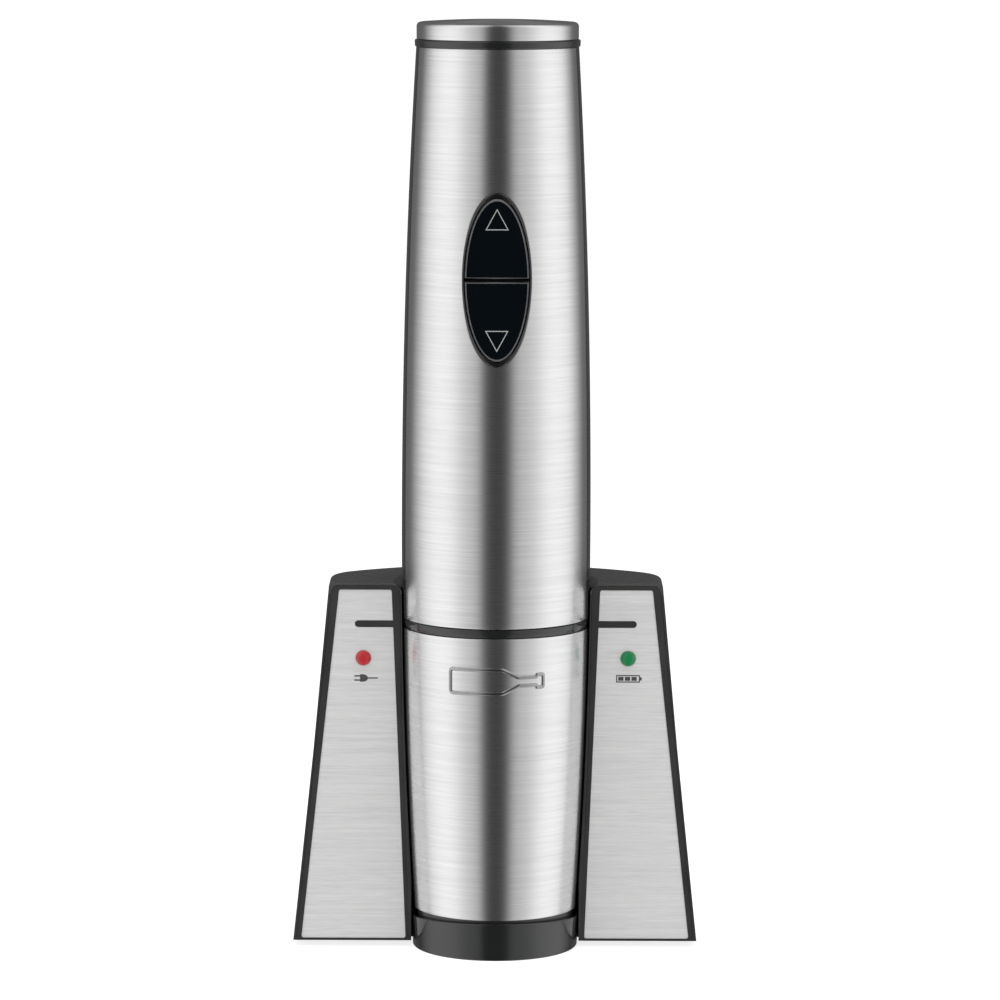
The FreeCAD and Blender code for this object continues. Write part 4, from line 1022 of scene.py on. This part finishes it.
def plug_outlines():
    nose = [(PLUG_NOSE * math.cos(a) + PLUG_SHIFT, PLUG_HALF * math.sin(a))
            for a in steps(-math.pi / 2, math.pi / 2, 14)]
    body = [(PLUG_BACK, -PLUG_HALF)] + nose + [(PLUG_BACK, PLUG_HALF)]
    return [body, box_outline(PRONG_TIP, PLUG_BACK, PRONG_LOW, PRONG_HIGH),
            box_outline(PRONG_TIP, PLUG_BACK, -PRONG_HIGH, -PRONG_LOW),
            box_outline(CABLE_START, CABLE_END, -CABLE_HALF, CABLE_HALF)]


def battery_outlines():
    wide, tall, line = CELL_HALF_WIDE, CELL_HALF_TALL, CELL_LINE
    case = [box_outline(-wide, wide, tall - line, tall),
            box_outline(-wide, wide, -tall, line - tall),
            box_outline(-wide, line - wide, line - tall, tall - line),
            box_outline(wide - line, wide, line - tall, tall - line),
            box_outline(wide, wide + CELL_NOSE, -CELL_NOSE_HALF, CELL_NOSE_HALF)]
    return case + [box_outline(x, x + BAR_WIDE, -BAR_HALF, BAR_HALF) for x in BAR_STARTS]


def printed_marks():
    plate_mark("mark_plug", plug_outlines(), -LAMP_X)
    plate_mark("mark_battery", battery_outlines(), LAMP_X)


# ---- emblem on the neck ----
EMBLEM_Z, EMBLEM_SUNK = 84.6 * MM, 0.3 * MM
WIRE_R, WIRE_STEP = 0.68 * MM, 0.8 * MM
# Lower half of the bottle, in millimetres: x, half height, rounding.
BOTTLE = ((-14.0, 3.6, 0.9), (2.0, 3.6, 2.6), (7.0, 1.25, 2.4), (12.6, 1.25, 0.4),
          (12.6, 1.9, 0.3), (14.8, 1.9, 0.4))


def wire(points):
    """A closed round wire laid on the barrel through (distance round it, height) points."""
    curve = bpy.data.curves.new("wire", "CURVE")
    curve.dimensions = "3D"
    curve.bevel_depth = WIRE_R
    curve.bevel_resolution = 4
    spline = curve.splines.new("POLY")
    spline.points.add(len(points) - 1)
    spline.use_cyclic_u = True
    for point, (x, z) in zip(spline.points, points):
        radius = body_r(z)
        point.co = (*around(radius - EMBLEM_SUNK, math.degrees(x / radius), z), 1)
    holder = bpy.data.objects.new("wire", curve)
    SCENE.collection.objects.link(holder)
    graph = bpy.context.evaluated_depsgraph_get()
    mesh = bpy.data.meshes.new_from_object(holder.evaluated_get(graph))
    bpy.data.objects.remove(holder)
    made = bpy.data.objects.new("wire", mesh)
    SCENE.collection.objects.link(made)
    return made


def emblem():
    """A raised outline of a bottle on its side."""
    corners = [(x * MM, EMBLEM_Z - half * MM, r * MM) for x, half, r in BOTTLE]
    corners += [(x * MM, EMBLEM_Z + half * MM, r * MM) for x, half, r in reversed(BOTTLE)]
    outline = divided(rounded(corners, 0, 6), WIRE_STEP)
    settle(join([wire(outline)], "neck_emblem"), "opener", "brushed_steel", (), "emblem")


# ---- contact springs ----
SPRING_R, SPRING_WIRE_R, SPRING_TURNS = 1.5 * MM, 0.1 * MM, 2.75
SPRING_STEPS, SPRING_SIDES = 120, 8


def coil(name, x, y, z0, z1):
    """A coil spring about an upright line."""
    verts = []
    for t in steps(0, 1, SPRING_STEPS):
        turn = 2 * math.pi * SPRING_TURNS * t
        middle_z = z0 + SPRING_WIRE_R + (z1 - z0 - 2 * SPRING_WIRE_R) * t
        for r, z in circle((SPRING_R, middle_z), SPRING_WIRE_R, SPRING_SIDES):
            verts.append((x + r * math.cos(turn), y + r * math.sin(turn), z))
    rows = SPRING_STEPS + 1
    faces = grid_faces(rows, SPRING_SIDES, closed=True) + end_faces(rows, SPRING_SIDES)
    return make_object(name, verts, faces)


def contact_springs():
    for side in ("left", "right"):
        node = "contact_spring_" + side
        x, y = (centre_of(node, axis) for axis in (0, 1))
        z0, z1 = low(node, 2), high(node, 2)
        piece = coil("spring_" + side, x, y, z0, z1)
        settle(piece, "base", "gear_steel", [node])
        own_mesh(piece)


# ---- stage ----
FLOOR_HALF, FLOOR_GREY, FLOOR_ROUGH, FLOOR_GLOW = 30.0, (0.5, 0.5, 0.5), 0.9, 0.79
# Brightness of the studio round the opener: (degrees, level), negative degrees on the left
# and 0 behind the camera.
ROOM = ((-180, 0.10), (-128, 0.15), (-113, 0.53), (-100, 0.88), (-90, 1.01), (-80, 1.10),
        (-70, 1.11), (-61, 1.08), (-53, 0.97), (-45, 0.82), (-37, 0.69), (-29, 0.62),
        (-22, 0.50), (-19, 0.33), (-14, 0.09), (-7, 0.047), (8, 0.045), (15, 0.10),
        (23, 0.46), (30, 0.585), (38, 0.63), (46, 0.72), (54, 0.86), (63, 1.02), (72, 1.10),
        (81, 1.11), (91, 1.075), (102, 0.97), (115, 0.57), (131, 0.15), (180, 0.10))
ROOM_STRENGTH = 1.2
CAMERA_TILT, CAMERA_ROLL = 7.56, -0.19       # degrees
CAMERA_DISTANCE, CAMERA_HEIGHT, CAMERA_ASIDE = 1.4349, 0.326, 0.5 * MM
LENS_LENGTH, SENSOR_WIDTH, VIEW_END = 172.7, 36, 100


def floor():
    s = FLOOR_HALF
    mesh = bpy.data.meshes.new("floor")
    mesh.from_pydata([(-s, -s, 0), (s, -s, 0), (s, s, 0), (-s, s, 0)], [], [(0, 1, 2, 3)])
    plane = bpy.data.objects.new("floor", mesh)
    SCENE.collection.objects.link(plane)
    material = new_material("pale_floor", FLOOR_GREY, 0.0, FLOOR_ROUGH,
                            Emission_Color=(1, 1, 1, 1), Emission_Strength=FLOOR_GLOW)[0]
    mesh.materials.append(material)
    plane.visible_glossy = False


def room():
    """A soft studio whose brightness depends on the direction round the opener."""
    world = bpy.data.worlds.new("studio")
    world.use_nodes = True
    SCENE.world = world
    nodes, links = world.node_tree.nodes, world.node_tree.links
    coord = nodes.new("ShaderNodeTexCoord")
    split = nodes.new("ShaderNodeSeparateXYZ")
    flip = math_node(nodes, "MULTIPLY", (1, -1))
    angle = math_node(nodes, "ARCTAN2")
    share = math_node(nodes, "MULTIPLY_ADD", (1, 0.5 / math.pi), (2, 0.5))
    ramp = nodes.new("ShaderNodeValToRGB")
    links.new(coord.outputs["Generated"], split.inputs[0])
    links.new(split.outputs["Y"], flip.inputs[0])
    links.new(split.outputs["X"], angle.inputs[0])
    links.new(flip.outputs[0], angle.inputs[1])
    links.new(angle.outputs[0], share.inputs[0])
    links.new(share.outputs[0], ramp.inputs[0])
    links.new(ramp.outputs[0], nodes["Background"].inputs["Color"])
    nodes["Background"].inputs["Strength"].default_value = ROOM_STRENGTH
    stops = ramp.color_ramp.elements
    while len(stops) < len(ROOM):
        stops.new(0.5)
    for stop, (degrees, level) in zip(stops, ROOM):
        stop.position = 0.5 + degrees / 360
        value = level / ROOM_STRENGTH
        stop.color = (value, value, value, 1)


def area_light(name, place, turn_x, size, energy):
    """A square lamp that lights the object but is not mirrored in it."""
    light = bpy.data.lights.new(name, "AREA")
    light.shape = "SQUARE"
    light.size = size
    light.energy = energy
    holder = bpy.data.objects.new(name, light)
    holder.location = place
    holder.rotation_euler = (math.radians(turn_x), 0, 0)
    holder.visible_glossy = False
    SCENE.collection.objects.link(holder)


def camera():
    data = bpy.data.cameras.new("camera")
    data.lens = LENS_LENGTH
    data.sensor_width = SENSOR_WIDTH
    data.clip_end = VIEW_END
    view = bpy.data.objects.new("camera", data)
    view.location = (CAMERA_ASIDE, AXIS_Y - CAMERA_DISTANCE, CAMERA_HEIGHT + RISE)
    view.rotation_euler = (math.radians(90 - CAMERA_TILT), math.radians(CAMERA_ROLL), 0)
    SCENE.collection.objects.link(view)
    SCENE.camera = view
    SCENE.view_settings.view_transform = "Standard"


camera()
floor()
room()
area_light("overhead", (0, -0.4, 1.6), turn_x=-14, size=1.2, energy=17)
area_light("front_fill", (0, -1.8, 0.9), turn_x=68, size=1.0, energy=10.5)
finish_nodes()
steel_cap()
cap_ring()
waist_ring()
sleeves()
housings()
button_surround()
buttons()
base_body()
cup()
wings()
lamps()
printed_marks()
emblem()
contact_springs()
